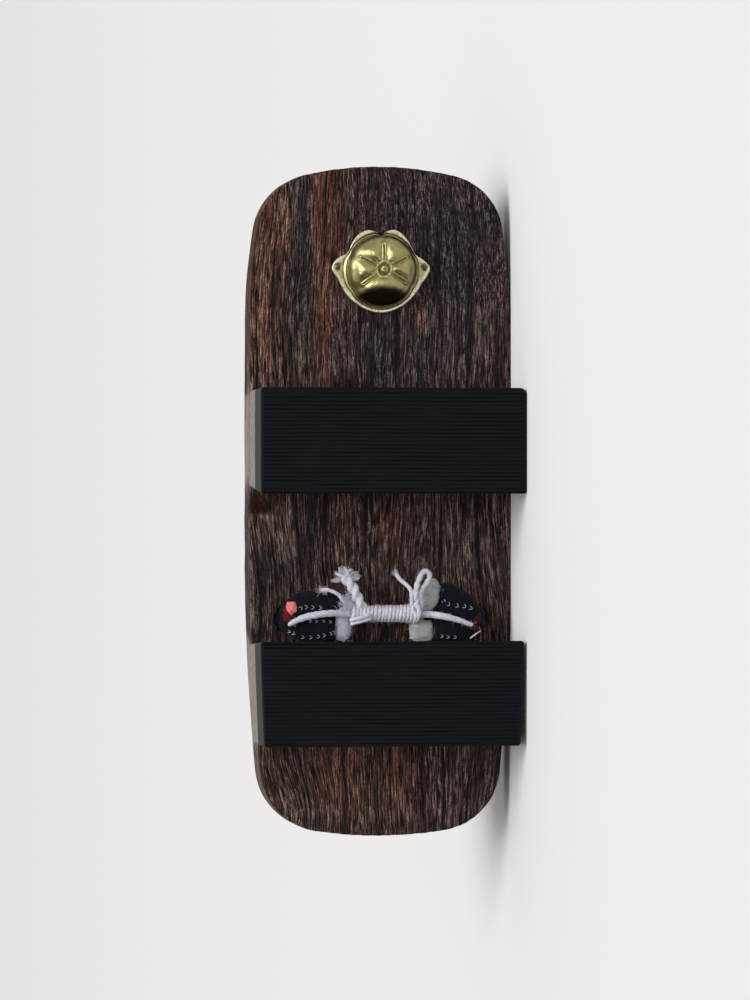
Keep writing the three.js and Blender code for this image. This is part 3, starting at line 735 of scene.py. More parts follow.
def tooth_sides(tooth, corner_round):
    """The four sides of a tooth at a height: its faces slope from the board to the ground, its ends follow
    side_reach, its corners are rounded, and all of it is moved aside by the tooth's own amount."""
    def sides(z, long_count, cross_count):
        share = z / UNDERSIDE
        heel_x = tooth["ground_heel"] + (tooth["board_heel"] - tooth["ground_heel"]) * share
        toe_x = tooth["ground_toe"] + (tooth["board_toe"] - tooth["ground_toe"]) * share
        found = []
        for radius_at_left, radius_at_right, x, inward in (
                (corner_round["toe_left"], corner_round["toe_right"], toe_x, -1),
                (corner_round["heel_left"], corner_round["heel_right"], heel_x, 1)):
            t = np.linspace(-1, 1, cross_count + 1)
            radius = np.where(t > 0, radius_at_left, radius_at_right)
            cut = radius * (1 - np.sqrt(0.5))
            y = np.sign(t) * (side_reach(x) - cut) * (1 - (1 - np.abs(t)) ** 1.5)
            into = np.clip(np.abs(y) - (side_reach(x) - radius), 0, None)
            found.append(np.stack([x + inward * (radius - np.sqrt(radius**2 - into**2)), y], -1))
        toe, heel = found
        for side, start, stop, radii in (
                (1, toe[-1, 0], heel[-1, 0], (corner_round["toe_left"], corner_round["heel_left"])),
                (-1, toe[0, 0], heel[0, 0], (corner_round["toe_right"], corner_round["heel_right"]))):
            x = np.linspace(start, stop, long_count + 1)
            drop = 0
            for radius, edge, way in ((radii[0], toe_x, 1), (radii[1], heel_x, -1)):
                into = np.clip(radius - way * (edge - x), 0, radius)
                drop = drop + radius - np.sqrt(radius**2 - into**2)
            found.append(np.stack([x, side * (side_reach(x) - drop)], -1))
        left, right = found[2:]
        aside = [0, tooth["aside"]]
        return [side + aside for side in (toe, left, heel[::-1], right[::-1])]
    return sides


# Where the stain and the char lie on the board: along, across, half-length, half-width, and how much warmer
# and how much lighter the wood is there.
STAIN = [
    {"x": 92, "y": -47, "long": 30, "wide": 6, "warm": 1.2, "light": 0.22},
    {"x": 60, "y": -46, "long": 18, "wide": 8, "warm": 0.2, "light": 0.35},
    {"x": 112, "y": -22, "long": 22, "wide": 6, "warm": 1.3, "light": 0.02},
    {"x": 82, "y": -23, "long": 34, "wide": 3, "warm": 0.9, "light": 0.2},
    {"x": 112, "y": -38, "long": 16, "wide": 4, "warm": 0.7, "light": 0.3},
    {"x": 98, "y": -32, "long": 24, "wide": 4, "warm": -0.9, "light": -0.5},
    {"x": 60, "y": -30, "long": 16, "wide": 6, "warm": 0.1, "light": 0.25},
    {"x": 72, "y": 16, "long": 6, "wide": 1.8, "warm": 1.2, "light": 0.6},
    {"x": 104, "y": 24, "long": 26, "wide": 24, "warm": -0.5, "light": -0.3},
    {"x": 60, "y": 8, "long": 22, "wide": 22, "warm": -0.35, "light": -0.16},
    {"x": 55, "y": 36, "long": 30, "wide": 8, "warm": -0.1, "light": 0.1},
    {"x": -12, "y": -44, "long": 12, "wide": 9, "warm": 0.25, "light": 0.95},
    {"x": -10, "y": -28, "long": 20, "wide": 2.4, "warm": -0.3, "light": -0.4},
    {"x": -26, "y": -44, "long": 8, "wide": 9, "warm": -0.6, "light": -0.5},
    {"x": -12, "y": 3, "long": 12, "wide": 4, "warm": 0.7, "light": 0.0},
    {"x": -14, "y": -16, "long": 22, "wide": 6, "warm": 0.2, "light": 0.25},
    {"x": -18, "y": 34, "long": 26, "wide": 16, "warm": -0.08, "light": 0.5},
    {"x": -112, "y": -12, "long": 18, "wide": 16, "warm": 0.75, "light": 0.5},
    {"x": -110, "y": 8, "long": 20, "wide": 8, "warm": 0.5, "light": 0.4},
    {"x": -114, "y": 32, "long": 18, "wide": 14, "warm": -0.1, "light": 0.35},
    {"x": -108, "y": -42, "long": 14, "wide": 9, "warm": 0.2, "light": 0.02},
    {"x": -76, "y": -52, "long": 20, "wide": 5, "warm": -0.6, "light": 0.1},
]
# Long dark lines in the grain: their place across, and where along they run.
DARK_LINES = [
    {"y": 28.6, "x": -18, "long": 26}, {"y": 38.5, "x": -18, "long": 26}, {"y": 44.5, "x": -20, "long": 24},
    {"y": -29, "x": -8, "long": 22}, {"y": -6, "x": 62, "long": 20}, {"y": 4, "x": 60, "long": 16},
    {"y": -36, "x": 58, "long": 14}, {"y": 33, "x": 70, "long": 30}, {"y": 45, "x": 62, "long": 26},
    {"y": -18, "x": -112, "long": 20}, {"y": 15, "x": -112, "long": 20}, {"y": 37, "x": -110, "long": 18},
]
CHIP = {"x": -2.5, "y": -47.5, "long": 4.2, "wide": 6.5, "depth": 0.9}
# Broken fibres that stand up pale beside the chip.
SPLINTERS = {"x": -6.2, "y": -46, "long": 1.6, "wide": 2.6}


def grain_place(x, y, z):
    """Where a point lies in the plank's grain, in millimetres along, across and through it. The fibres
    drift slowly from side to side, lean near the right edge and at the heel, and are shorter at the toe."""
    across = y + 0.6 * z
    drift = 5 * (noise(x / 75, across / 34, 31) - 0.5) + 1.6 * (noise(x / 24, across / 12, 32) - 0.5)
    lean = 0.14 * (x + 12) * swell(y, -51, 15) * swell(x, -16, 30)
    lean += 0.26 * (x + 100) * swell(y, -34, 17) * swell(x, -118, 20)
    shorter = 1.1 * np.clip(x - 78, 0, None) * ease(y, -24, 4)
    return np.stack([x + shorter, y + drift + lean, z], -1)


def brushed_height(x, y, z):
    """How far each point stands out. Brushing cuts long furrows 0.22 mm deep and short fibre ends 0.14 mm
    deep into the board, and the chip is cut deeper."""
    along, across, through = grain_place(x, y, z).T
    furrows = noise(along / 22, (across + through) / 1.5, 33)
    ends = noise(along / 7, (across + through) / 0.85, 34)
    broken = swell(x, CHIP["x"], CHIP["long"]) * swell(y, CHIP["y"], CHIP["wide"]) * (z < UNDERSIDE + 6)
    rough = CHIP["depth"] * broken * (0.4 + noise(x / 0.9, (y + z) / 0.9, 35))
    return -0.22 * furrows - 0.14 * ends - rough


def cut_holes(piece, holes):
    """Cuts round holes right through a block: each hole is a row of x, y and radius."""
    turn = np.linspace(0, 2 * np.pi, 49)
    for x, y, radius in holes:
        rings = np.stack([np.stack([x + radius * np.cos(turn), y + radius * np.sin(turn),
                                    np.full_like(turn, z)], -1) for z in (UNDERSIDE - 3, DECK_TOP + 3)])
        cutter = add_mesh("cutter", [closed_ends(rings)])
        cut = piece.modifiers.new("cut", "BOOLEAN")
        cut.operation, cut.object, cut.solver = "DIFFERENCE", cutter, "MANIFOLD"
        seen = piece.evaluated_get(bpy.context.evaluated_depsgraph_get())
        whole = bpy.data.meshes.new_from_object(seen)
        piece.modifiers.clear()
        piece.data = whole
        bpy.data.objects.remove(cutter)


FRONT_HOLE_X, FRONT_HOLE_RADIUS = 91.4, 5.0
# Where each tooth's heel and toe faces lie along the clog, at the board and at the ground, and how far the
# tooth stands to the wearer's left.
TEETH = {
    "front": {"board_heel": 5.3, "board_toe": 43.4, "ground_heel": 2.6, "ground_toe": 44.1, "aside": 0},
    "rear": {"board_heel": -96.4, "board_toe": -56.8, "ground_heel": -95.9, "ground_toe": -54.8,
             "aside": -0.6},
}


def beside_teeth(x):
    """1 where a tooth stands under the board, 0 away from it."""
    return sum(ease(x, tooth["board_heel"] - 2, tooth["board_heel"] + 2)
               * ease(-x, -tooth["board_toe"] - 2, -tooth["board_toe"] + 2) for tooth in TEETH.values())


def board():
    """A block with three holes, brushed all over, with its stain, dark lines, bared sides and chip."""
    levels = rounded_levels(UNDERSIDE, DECK_TOP, low_round=1.2, high_round=1.8, between=22)
    piece = add_mesh("wooden_board", block_grids(board_sides, levels, long_count=130, cross_count=240))
    cut_holes(piece, [(FRONT_HOLE_X, 0, FRONT_HOLE_RADIUS),
                      (REAR_HOLE_X, -REAR_HOLE_Y, REAR_HOLE_RADIUS),
                      (REAR_HOLE_X, REAR_HOLE_Y, REAR_HOLE_RADIUS)])
    raise_surface(piece, brushed_height)
    x, y, z = points_of(piece).T
    grain = grain_place(x, y, z)
    zones = [swell(x, row["x"], row["long"]) * swell(y, row["y"], row["wide"]) for row in STAIN]
    streak = noise(grain[:, 0] / 60, grain[:, 1] / 2.2, 36)
    warm = sum(row["warm"] * zone for row, zone in zip(STAIN, zones)) * (0.5 + streak)
    light = sum(row["light"] * zone for row, zone in zip(STAIN, zones)) * (0.4 + 1.2 * streak)
    across = grain[:, 1] - grain_place(0 * x, 0 * y, 0 * z)[:, 1]
    cracks = sum(swell(across, row["y"], 0.8) * swell(x, row["x"], row["long"]) for row in DARK_LINES)
    furrow = 1 - ease(noise(x / 22, (grain[:, 1] + z) / 1.5, 33), 0.15, 0.55)
    on_side = (z > UNDERSIDE + 1) & (z < DECK_TOP - 1)
    write_attribute(piece, "grain", grain)
    write_attribute(piece, "furrow", np.clip(0.6 * furrow + cracks, 0, 1))
    write_attribute(piece, "warm", np.clip(0.3 + warm, 0, 1))
    write_attribute(piece, "light", np.clip(0.28 + light, 0, 1))
    wander = 9 * (noise(x / 9, z / 1.2, 38) - 0.5)
    worn = 0.1 + 0.74 * beside_teeth(x + wander) + 0.3 * ease(-x, 96, 104)
    worn = on_side * worn * (0.55 + 0.45 * noise(x / 14, z / 1.1, 37))
    chipped, splintered = (
        swell(x, spot["x"], spot["long"]) * swell(y, spot["y"], spot["wide"]) for spot in (CHIP, SPLINTERS))
    chipped = 1.9 * chipped * (1 - ease(z, UNDERSIDE + 4, UNDERSIDE + 8)) - 1.6 * splintered
    stands_up = ease(noise(x / 4, y / 0.6, 40), 0.5, 0.75) * (z < UNDERSIDE + 1)
    write_attribute(piece, "pale", np.clip(worn + splintered * stands_up, 0, 1))
    write_attribute(piece, "chip", np.clip(chipped * (0.5 + noise(x / 2.5, (y + z) / 1.2, 39)), 0, 1))
    finish_piece(piece, STAINED_WOOD, "stained_wood", "board")


def tooth_pieces():
    """Each tooth's wood and its tread. The tread's face has ribs across the foot 1.55 mm apart."""
    rib_pitch, rib_depth = 1.55, 0.28
    for name, tooth in TEETH.items():
        rounds = {"toe_left": 1.2, "toe_right": 1.2, "heel_left": 1.2, "heel_right": 1.2}
        levels = rounded_levels(TREAD_TOP + GAP, UNDERSIDE - GAP, low_round=0.25, high_round=0.25, between=12)
        wood = add_mesh(f"{name}_tooth_wood", block_grids(
            tooth_sides(tooth, rounds), levels, long_count=90, cross_count=60))
        x, y, z = points_of(wood).T
        grain = np.stack([y, x + 3 * noise(y / 40, x / 20, 41) + 0.8 * z, z], -1)
        raise_surface(wood, lambda x, y, z: -0.16 * noise(y / 18, (x + 0.8 * z) / 1.1, 42))
        write_attribute(wood, "grain", grain)
        finish_piece(wood, BARE_WOOD, "bare_wood", f"{name}_tooth")
        if name == "front":
            rounds["toe_left"] = 3.0
        levels = rounded_levels(0, TREAD_TOP, low_round=1.0, high_round=0.3, between=8)
        tread = add_mesh(f"{name}_tread_rubber", block_grids(
            tooth_sides(tooth, rounds), levels, long_count=190, cross_count=60))

        def from_end(x, y):
            return side_reach(x) - np.abs(y - tooth["aside"])

        def ribs(x, y, z):
            wander = 0.25 * noise(y / 26, x / 9, 43)
            wave = 0.5 + 0.5 * np.cos(2 * np.pi * (x + wander) / rib_pitch)
            worn = 0.25 + 0.75 * noise(y / 9, x / 1.6, 44)
            return -rib_depth * wave**2 * worn * (z < 0.5) * (from_end(x, y) > 1.2)

        x, y, z = points_of(tread).T
        write_attribute(tread, "rib", np.clip(1 + ribs(x, y, z) / rib_depth, 0, 1))
        write_attribute(tread, "sawn", ease(-from_end(x, y), -1.0, -0.4) * ease(z, 0.2, 0.9))
        raise_surface(tread, ribs)
        finish_piece(tread, RUBBER, "rubber", f"{name}_tread")


board()
tooth_pieces()

# ---------------------------------------------------------------- the brass cap and its nails

CAP_Z = UNDERSIDE - GAP
# The flange's edge: direction in degrees from 0, the wearer's left, to 90, the toe; and its reach.
FLANGE_EDGE = [
    (-4, 19.1), (4, 19.6), (11, 18.2), (24, 15.3), (37, 15.4), (54, 16.5), (70, 17.1), (81, 15.8), (89, 14.5),
    (97, 15.3), (108, 16.8), (120, 17), (134, 16.1), (146, 15.2), (156, 15.6), (166, 18.4), (177, 19.7),
    (184, 19.1), (193, 17.6), (209, 17.1), (240, 16.8), (270, 17), (295, 16.6), (320, 16.5), (342, 17.2),
]
# The directions of the ribs between the blossom's five petals, in degrees.
RIBS = [90, 153, 215, 330, 27.5]
# Where the left and the right nail stand from the front hole: towards the toe and to the wearer's left.
NAILS = [(1.3, 17.4), (1.3, -17.4)]


def cap_height(r, degrees):
    """How far the cap stands from the board at a radius and direction. The dome is a superellipse, fuller
    towards the toe; its petals are pillows that sink in a trough along each rib, the rib is a narrow ridge
    with a dot in the trough, and a bead with a groove and a ring stands in the middle."""
    angle = np.radians(degrees)
    trough, rib, crease, dots = 0, 0, 0, 0
    for at in RIBS:
        apart = np.radians((degrees - at + 540) % 360 - 180)
        off = np.where(np.abs(apart) < np.pi / 2, r * np.abs(np.sin(apart)), r)
        trough = np.maximum(trough, swell(off, 0, 2.3))
        rib = np.maximum(rib, swell(off, 0.5, 0.3))
        dots = np.maximum(dots, swell(np.hypot(off, r - 10.6), 0, 0.6))
        crease = np.maximum(crease, swell(r * apart, 0, 1.6))
    below = (degrees - 270 + 540) % 360 - 180
    base = 14.2 - 0.4 * crease + 0.6 * swell(below, 0, 42)
    share = np.clip(r / base, 0, 1)
    power = 2.75 + 0.55 * np.sin(angle)
    dome = 8.9 * (1 - share**power) ** (1 / power)
    near = ease(r, 2.4, 4.4)
    far = 1 - ease(r, 9.8, 11.6)
    pillow = 0.55 * (0.25 + 0.75 * far) + 1.35 * swell(r, 6.6, 3.8)
    petals = near * (pillow * (1 - trough) + 0.55 * rib * far) + 0.5 * dots
    bead = 1.3 * np.sqrt(np.clip(1 - (r / 1.75) ** 2, 0, 1)) - 0.2 * swell(r, 2.0, 0.3)
    ring = 0.35 * swell(r, 2.9 * (1 + 0.05 * np.cos(5 * (angle - np.pi / 2))), 0.45)
    inside = 1 - ease(share, 0.9, 1.0)
    flange = 1.0 + 0.22 * noise(angle * 8, r / 1.6, 51) - 0.55 * swell(r - base, 0.25, 0.5)
    for x, y in NAILS:
        flange -= 0.5 * swell(np.hypot(r * np.sin(angle) - x, r * np.cos(angle) - y), 1.15, 0.35)
    return np.where(r < base, flange + dome + (petals + bead + ring) * inside, flange)


def cap():
    """The cap as rings of points round the front hole: the outer skin, the edge, and the hollow side."""
    turn = np.linspace(0, 360, 361)
    wrapped = np.array(FLANGE_EDGE[-2:] + FLANGE_EDGE + FLANGE_EDGE[:3], float)
    wrapped[:2, 0] -= 360
    wrapped[-3:, 0] += 360
    smooth = curve_through(wrapped, 8)
    edge = np.interp(turn, smooth[:, 0], smooth[:, 1])
    round_to, edge_round = 14.6, 0.35
    inner = np.linspace(0.05, round_to, 96)
    radii = np.concatenate([
        np.broadcast_to(inner[:, None], (len(inner), len(turn))),
        round_to + (edge - edge_round - round_to) * np.linspace(0.15, 1, 9)[:, None],
    ])
    height = cap_height(radii, np.broadcast_to(turn, radii.shape))
    skins = [(radii, height), (edge[None] - 0.08, height[-1:] - 0.18), (edge[None], height[-1:] - 0.5),
             (edge[None], 0.15 + 0 * height[-1:]), (edge[None] - 0.2, 0 * height[-1:])]
    under = np.array([13.4, 12.4, 10, 7, 3, 0.05])
    hollow = 8.6 * np.sqrt(1 - (under / 13.6) ** 2)
    skins.append([np.broadcast_to(part[:, None], (len(under), len(turn))) for part in (under, hollow)])
    radii = np.concatenate([np.broadcast_to(r, (len(h), len(turn))) for r, h in skins])
    height = np.concatenate([h for _, h in skins])
    angle = np.radians(turn)
    grid = np.stack([FRONT_HOLE_X + radii * np.sin(angle), radii * np.cos(angle), CAP_Z - height], -1)
    grid[:, -1] = grid[:, 0]
    piece = add_mesh("brass_cap", [closed_ends(grid)])
    x, y, z = points_of(piece).T
    r = np.hypot(x - FRONT_HOLE_X, y)
    degrees = np.degrees(np.arctan2(x - FRONT_HOLE_X, y))
    around = [cap_height(r + dr, degrees + dd) for dr, dd in ((0.45, 0), (-0.45, 0), (0, 3), (0, -3))]
    hollow = np.mean(around, axis=0) - cap_height(r, degrees)
    # Painted shade: the dome's wall is darkened, most towards the toe and the wearer's left, and so is the
    # crevice at its foot; it is stored with the tarnish of the creases and the specks of dirt.
    shaded = 0.45 + 0.4 * np.cos(np.radians(degrees - 45))
    wall = 1.25 * shaded * swell(r, 13.6, 1.2) + 0.9 * swell(r, 14.3, 0.6)
    specks = 0.5 * ease(noise(x / 0.5, y / 0.5, 52), 0.6, 0.85) * ease(r, 14.4, 15)
    write_attribute(piece, "tarnish_and_shade", np.clip(2.6 * hollow + wall + specks, 0, 1))
    # A pale band just inside the flange's edge: rubbed wear, and a painted highlight where the rolled edge
    # would catch the light.
    rim = np.interp(degrees % 360, turn, edge)
    rubbed_and_edge_highlight = ease(r, rim - 2.2, rim - 0.8) * (0.45 + 0.55 * noise(degrees / 9, r, 53))
    write_attribute(piece, "rubbed_and_edge_highlight", np.clip(rubbed_and_edge_highlight, 0, 1))
    # Painted dark reflection: the dome's low, heel-ward part is painted near black, as if it mirrored the
    # dark room below the heel.
    lowest = ease(FRONT_HOLE_X - x - 0.035 * y**2, 5.0, 8.2) * (1 - ease(r, 14.2, 14.9))
    write_attribute(piece, "painted_dark_reflection", 0.93 * lowest)
    finish_piece(piece, BRASS, "brass", "toe_cap")


def nails():
    """Round-headed nails as turned shapes: a low dome on a thin shank."""
    profile = np.array([[0.02, 1.75], [0.35, 1.7], [0.65, 1.58], [0.85, 1.4], [0.93, 1.2], [0.9, 0.95],
                        [0.5, 0.9], [0.5, -6.5], [0.02, -8]])
    turn = np.linspace(0, 2 * np.pi, 25)
    reach, height = profile[:, :1], np.broadcast_to(profile[:, 1:], (len(profile), len(turn)))
    for side, (ahead, aside) in zip(("left", "right"), NAILS):
        grid = np.stack([FRONT_HOLE_X + ahead + reach * np.cos(turn), aside + reach * np.sin(turn),
                         CAP_Z - height], -1)
        piece = add_mesh(f"cap_nail_head_{side}", [closed_ends(grid)])
        write_attribute(piece, "tarnish_and_shade", np.full(len(piece.data.vertices), 0.75))
        finish_piece(piece, BRASS, "brass", f"cap_nail_{side}")


cap()
nails()

# ---------------------------------------------------------------- the straps

# From the rear hole, up and forward over the instep, to the front loop: x, y, z, width and thickness.
STRAP = [
    (-47, 37, 38.6, 11.4, 11.4), (-47, 37, 57, 11, 11), (-46.6, 37.3, 62, 10.6, 10),
    (-44.5, 39.2, 68, 14, 9.4), (-35, 44, 77, 17.5, 9), (-15, 47.2, 87, 18.5, 9), (10, 43, 93.5, 18.5, 9),
    (36, 32, 96, 18, 9), (60, 18.5, 93, 16, 9), (79, 7.5, 87.5, 13, 8.5), (87, 3.1, 84.8, 10.6, 7.8),
    (93, 1.0, 82.6, 7, 6.2),
]
STRAP_STEPS = 26
# The height of the foot's own middle line, which the straps' flat sides turn towards.
FOOT_AXIS = DECK_TOP + 10
STITCH_PITCH = 2.7
# The clog lies on its left side, so the left strap rests on the floor and the right one sags towards it.
RIGHT_SAG = 4.6


def strap_rows(side):
    """The strap's rows for one side, with the right strap's sag; padded_grid mirrors them."""
    rows = np.array(STRAP)
    if side == "right":
        rows[:, 1] -= RIGHT_SAG * ease(rows[:, 2], 60, 86) * ease(rows[:, 1], 2, 24)
    return rows


def padded_grid(rows, steps, reference, around, crease, power=2.3, mirrored=1, side_room=0):
    """A padded strip along rows of x, y, z, width and thickness: each section is a superellipse, drawn in by
    crease(run, angle). It lies flat where it would pass the board's left side, or come nearer than side_room
    to the right side, and in a rear hole it fits the hole. Returns points, outward normals, the map in
    millimetres, and the way along at each section."""
    line = curve_through(rows, steps)
    path = line[:, :3] * (1, mirrored, 1)
    facing = reference(path)
    tangent, normal, across = square_frames(path, facing)
    angle = np.linspace(0, 2 * np.pi, around + 1)
    run = length_along(path)
    rounded = [np.sign(f) * np.abs(f) ** (2 / power) for f in (np.cos(angle), np.sin(angle))]
    pull = 1 - crease(run[:, None], angle[None, :])
    wide, thick = line[:, 3, None] / 2 * pull, line[:, 4, None] / 2 * pull
    offset = ((wide * rounded[0])[..., None] * across[:, None]
              + (thick * rounded[1])[..., None] * normal[:, None])
    points = path[:, None] + offset
    points[..., 1] = np.clip(points[..., 1], side_room - HALF_WIDTH, HALF_WIDTH)
    in_hole = (np.abs(path[:, 2] - (UNDERSIDE + DECK_TOP) / 2) < 11.5)[:, None] & (tangent[:, 2:] > 0.9)
    from_axis = points[..., :2] - path[:, None, :2]
    fit = np.clip((REAR_HOLE_RADIUS - 0.1) / np.linalg.norm(from_axis, axis=-1), 0, 1)
    fitted = path[:, None, :2] + from_axis * fit[..., None]
    points[..., :2] = np.where(in_hole[..., None], fitted, points[..., :2])
    reach = line[:, 3, None] / 2
    maps = np.stack([angle * reach, np.broadcast_to(run[:, None], (len(run), around + 1))], -1)
    return points, unit(offset), maps, tangent


def capped(points, maps):
    """A strip with closed ends, and its map with a row more at each end to match."""
    return closed_ends(points), np.concatenate([maps[:1], maps, maps[-1:]])


def away_from_foot(path):
    """At each point of a strap: the way out from the foot's axis."""
    return np.stack([0 * path[:, 0], path[:, 1], 1.2 * (path[:, 2] - FOOT_AXIS)], -1)


def strap_crease(run, angle):
    """Seams along both edges, and soft folds where the strap bends out of the hole and near the front."""
    seams = 0.05 * sum(swell((angle - at + np.pi) % (2 * np.pi) - np.pi, 0, 0.09)
                       for at in (np.pi * 1.12, np.pi * 1.88))
    folds = 0
    for at, spread, depth, lean, side in (
            (16, 2.0, 0.10, 3, -1), (22, 2.4, 0.08, -4, -1), (30, 2.2, 0.05, 3, 1),
            (150, 2.4, 0.05, 4, 1), (158, 2.0, 0.07, -3, -1)):
        on_one_side = 0.5 + 0.5 * side * np.sin(angle)
        folds = folds + depth * swell(run - at - lean * np.cos(angle), 0, spread) * on_one_side
    ripple = 0.02 * (noise(run / 6, angle * 3, 61) - 0.5)
    return seams + folds + ripple


def stitch_grids(points, normals, along, spots):
    """Small V-shaped stitches of thread, each at a ring and column of the cloth: a thin tube over five
    points, 0.5 mm ahead in the middle and 0.7 mm back at its arms, lying on the cloth."""
    arms = np.array([(-0.7, -0.75), (-0.1, -0.55), (0.5, 0), (-0.1, 0.55), (-0.7, 0.75)])
    around = np.linspace(0, 2 * np.pi, 7)
    ring, column = np.asarray(spots).T
    centre, out, ahead = points[ring, column], normals[ring, column], along[ring]
    side = unit(np.cross(out, ahead))
    ahead = unit(np.cross(side, out))
    spine = (centre[:, None] + out[:, None] * 0.08 + arms[None, :, :1] * ahead[:, None]
             + arms[None, :, 1:] * side[:, None])
    thin = 0.15 * np.array([0.5, 1, 1, 1, 0.5])[None, :, None, None]
    tube = (np.cos(around)[None, None, :, None] * side[:, None, None]
            + np.sin(around)[None, None, :, None] * out[:, None, None])
    return spine[:, :, None] + thin * tube


def rows_of_spots(run, columns, start, stop):
    """The ring and column of each stitch in rows along a strip."""
    places = np.arange(start, stop, STITCH_PITCH)
    rings = np.searchsorted(run, places).clip(0, len(run) - 1)
    return [(ring, column) for column in columns for ring in rings]


THREAD = spun_cotton("white_stitch_thread", "#7d828f", "#c3c7d2")


def finish_fibres(name, grid, material=CORD_COTTON):
    """Makes one piece of many fibres or stitches, which are too thin to need a map."""
    finish_piece(add_mesh(name, [grid], [np.zeros((1, 1, 1, 2))]), material, "cotton_cord")


def strap_lining(side, points, normals, maps):
    """A strap's lining: a thin strip on the foot's side of the strap, between the two seams."""
    first, around = 16, points.shape[1] - 1
    columns = np.arange(int(around * 0.57), int(around * 0.935))
    outer = points[first:, columns] + 0.28 * normals[first:, columns]
    inner = points[first:, columns] - 0.5 * normals[first:, columns]
    loop = np.concatenate([outer, inner[:, ::-1], outer[:, :1]], 1)
    loop[..., 1] = np.clip(loop[..., 1], -HALF_WIDTH, HALF_WIDTH)
    loop_map = maps[first:, np.concatenate([columns, columns[::-1], columns[:1]])]
    grid, uv = capped(loop, loop_map)
    finish_piece(add_mesh(f"strap_lining_{side}", [grid], [uv]), DARK_LINING, "strap_cloth")


def strap_stitches(side, points, normals, along):
    """Three rows of stitches along a strap's outer side."""
    around = points.shape[1] - 1
    run = length_along(curve_through(strap_rows(side), STRAP_STEPS)[:, :3])
    start, stop = 24, run[-1] - 14
    spots = rows_of_spots(run, [int(around * at) for at in (0.1, 0.25, 0.4)], start, stop)
    stitches = stitch_grids(points, normals, along, spots)
    stitches[..., 1] = np.clip(stitches[..., 1], -HALF_WIDTH, HALF_WIDTH - 0.05)
    finish_fibres(f"strap_stitches_{side}", stitches, THREAD)


def straps():
    """The two padded straps, each with its lining and its stitches."""
    for side, mirrored in (("right", -1), ("left", 1)):
        points, normals, maps, along = padded_grid(
            strap_rows(side), STRAP_STEPS, away_from_foot, around=64, mirrored=mirrored, crease=strap_crease,
            side_room=3.5)
        grid, uv = capped(points, maps)
        strap = add_mesh(f"strap_{side}", [grid], [uv])
        nodes = ("straps",) if side == "right" else ()
        finish_piece(strap, STRAP_CLOTH, "strap_cloth", *nodes)
        strap_lining(side, points, normals, maps)
        strap_stitches(side, points, normals, along)


def front_loop():
    """The loop that holds both straps: a soft band that comes up through the front hole, turns over the
    straps' meeting and goes down again; its two ends are hidden in the cap."""
    rows = [
        (FRONT_HOLE_X + 2.3, 0, 33, 6.5, 4.4), (FRONT_HOLE_X + 2.3, 0, 50, 7.5, 4.4),
        (FRONT_HOLE_X + 2.6, 0, 64, 8.5, 4.6), (FRONT_HOLE_X + 4.6, 0, 76, 9.5, 4.2),
        (FRONT_HOLE_X + 5.6, 0, 85, 10, 3.8), (FRONT_HOLE_X + 2.5, 0, 90.6, 10, 3.6),
        (FRONT_HOLE_X - 3.5, 0, 90.8, 10, 3.6), (FRONT_HOLE_X - 7.2, 0, 85.5, 10, 3.8),
        (FRONT_HOLE_X - 5.4, 0, 76, 9.5, 4.2), (FRONT_HOLE_X - 2.6, 0, 64, 8.5, 4.6),
        (FRONT_HOLE_X - 2.3, 0, 50, 7.5, 4.4), (FRONT_HOLE_X - 2.3, 0, 33, 6.5, 4.4),
    ]

    def outwards(path):
        return np.stack([path[:, 0] - FRONT_HOLE_X, 0 * path[:, 0], 0.9 * (path[:, 2] - 80).clip(0)], -1)

    def wrinkles(run, angle):
        pulls = sum(depth * swell(run - at - 2 * np.cos(angle), 0, 1.6)
                    for at, depth in ((30, 0.08), (39, 0.07), (47, 0.1), (70, 0.1), (80, 0.07), (90, 0.06)))
        return pulls * (0.5 + 0.5 * np.sin(angle))

    points, _, maps, _ = padded_grid(rows, 14, outwards, 36, power=2.6, crease=wrinkles)
    grid, uv = capped(points, maps)
    piece = add_mesh("front_loop", [grid], [uv])
    finish_piece(piece, STRAP_CLOTH, "strap_cloth")


# Each strap's end under the board lies in two lobes, one on each side of its tie cord: the lobe's middle and
# end along x, how near the centre line it ends, its width, and the share of that width at the hole.
LOBES = [
    {"name": "right_toe", "side": -1, "middle_x": -41.2, "end_x": -41, "end_y": 14.6, "wide": 10.6},
    {"name": "right_heel", "side": -1, "middle_x": -51.2, "end_x": -51.2, "end_y": 19.6, "wide": 9.8},
    {"name": "left_toe", "side": 1, "middle_x": -42.2, "end_x": -37.9, "end_y": 23.6, "wide": 12.6,
     "outer": 0.74},
    {"name": "left_heel", "side": 1, "middle_x": -51.3, "end_x": -51.3, "end_y": 21, "wide": 9.8},
]
LOBE_THICKNESS = 8.4
# Rows of stitches on each lobe: the share of the way round it at the row's first and last stitch, and where
# the row starts and stops along the lobe.
LOBE_STITCHES = {
    "right_toe": [(0.27, 0.29, 8, 18.5)], "right_heel": [(0.13, 0.12, 12, 21), (0.37, 0.3, 4, 23)],
    "left_toe": [(0.29, 0.19, 6.3, 19.6)], "left_heel": [(0.17, 0.175, 12.5, 20.5)],
}


def facing_down(path):
    return np.broadcast_to(DOWN, path.shape)


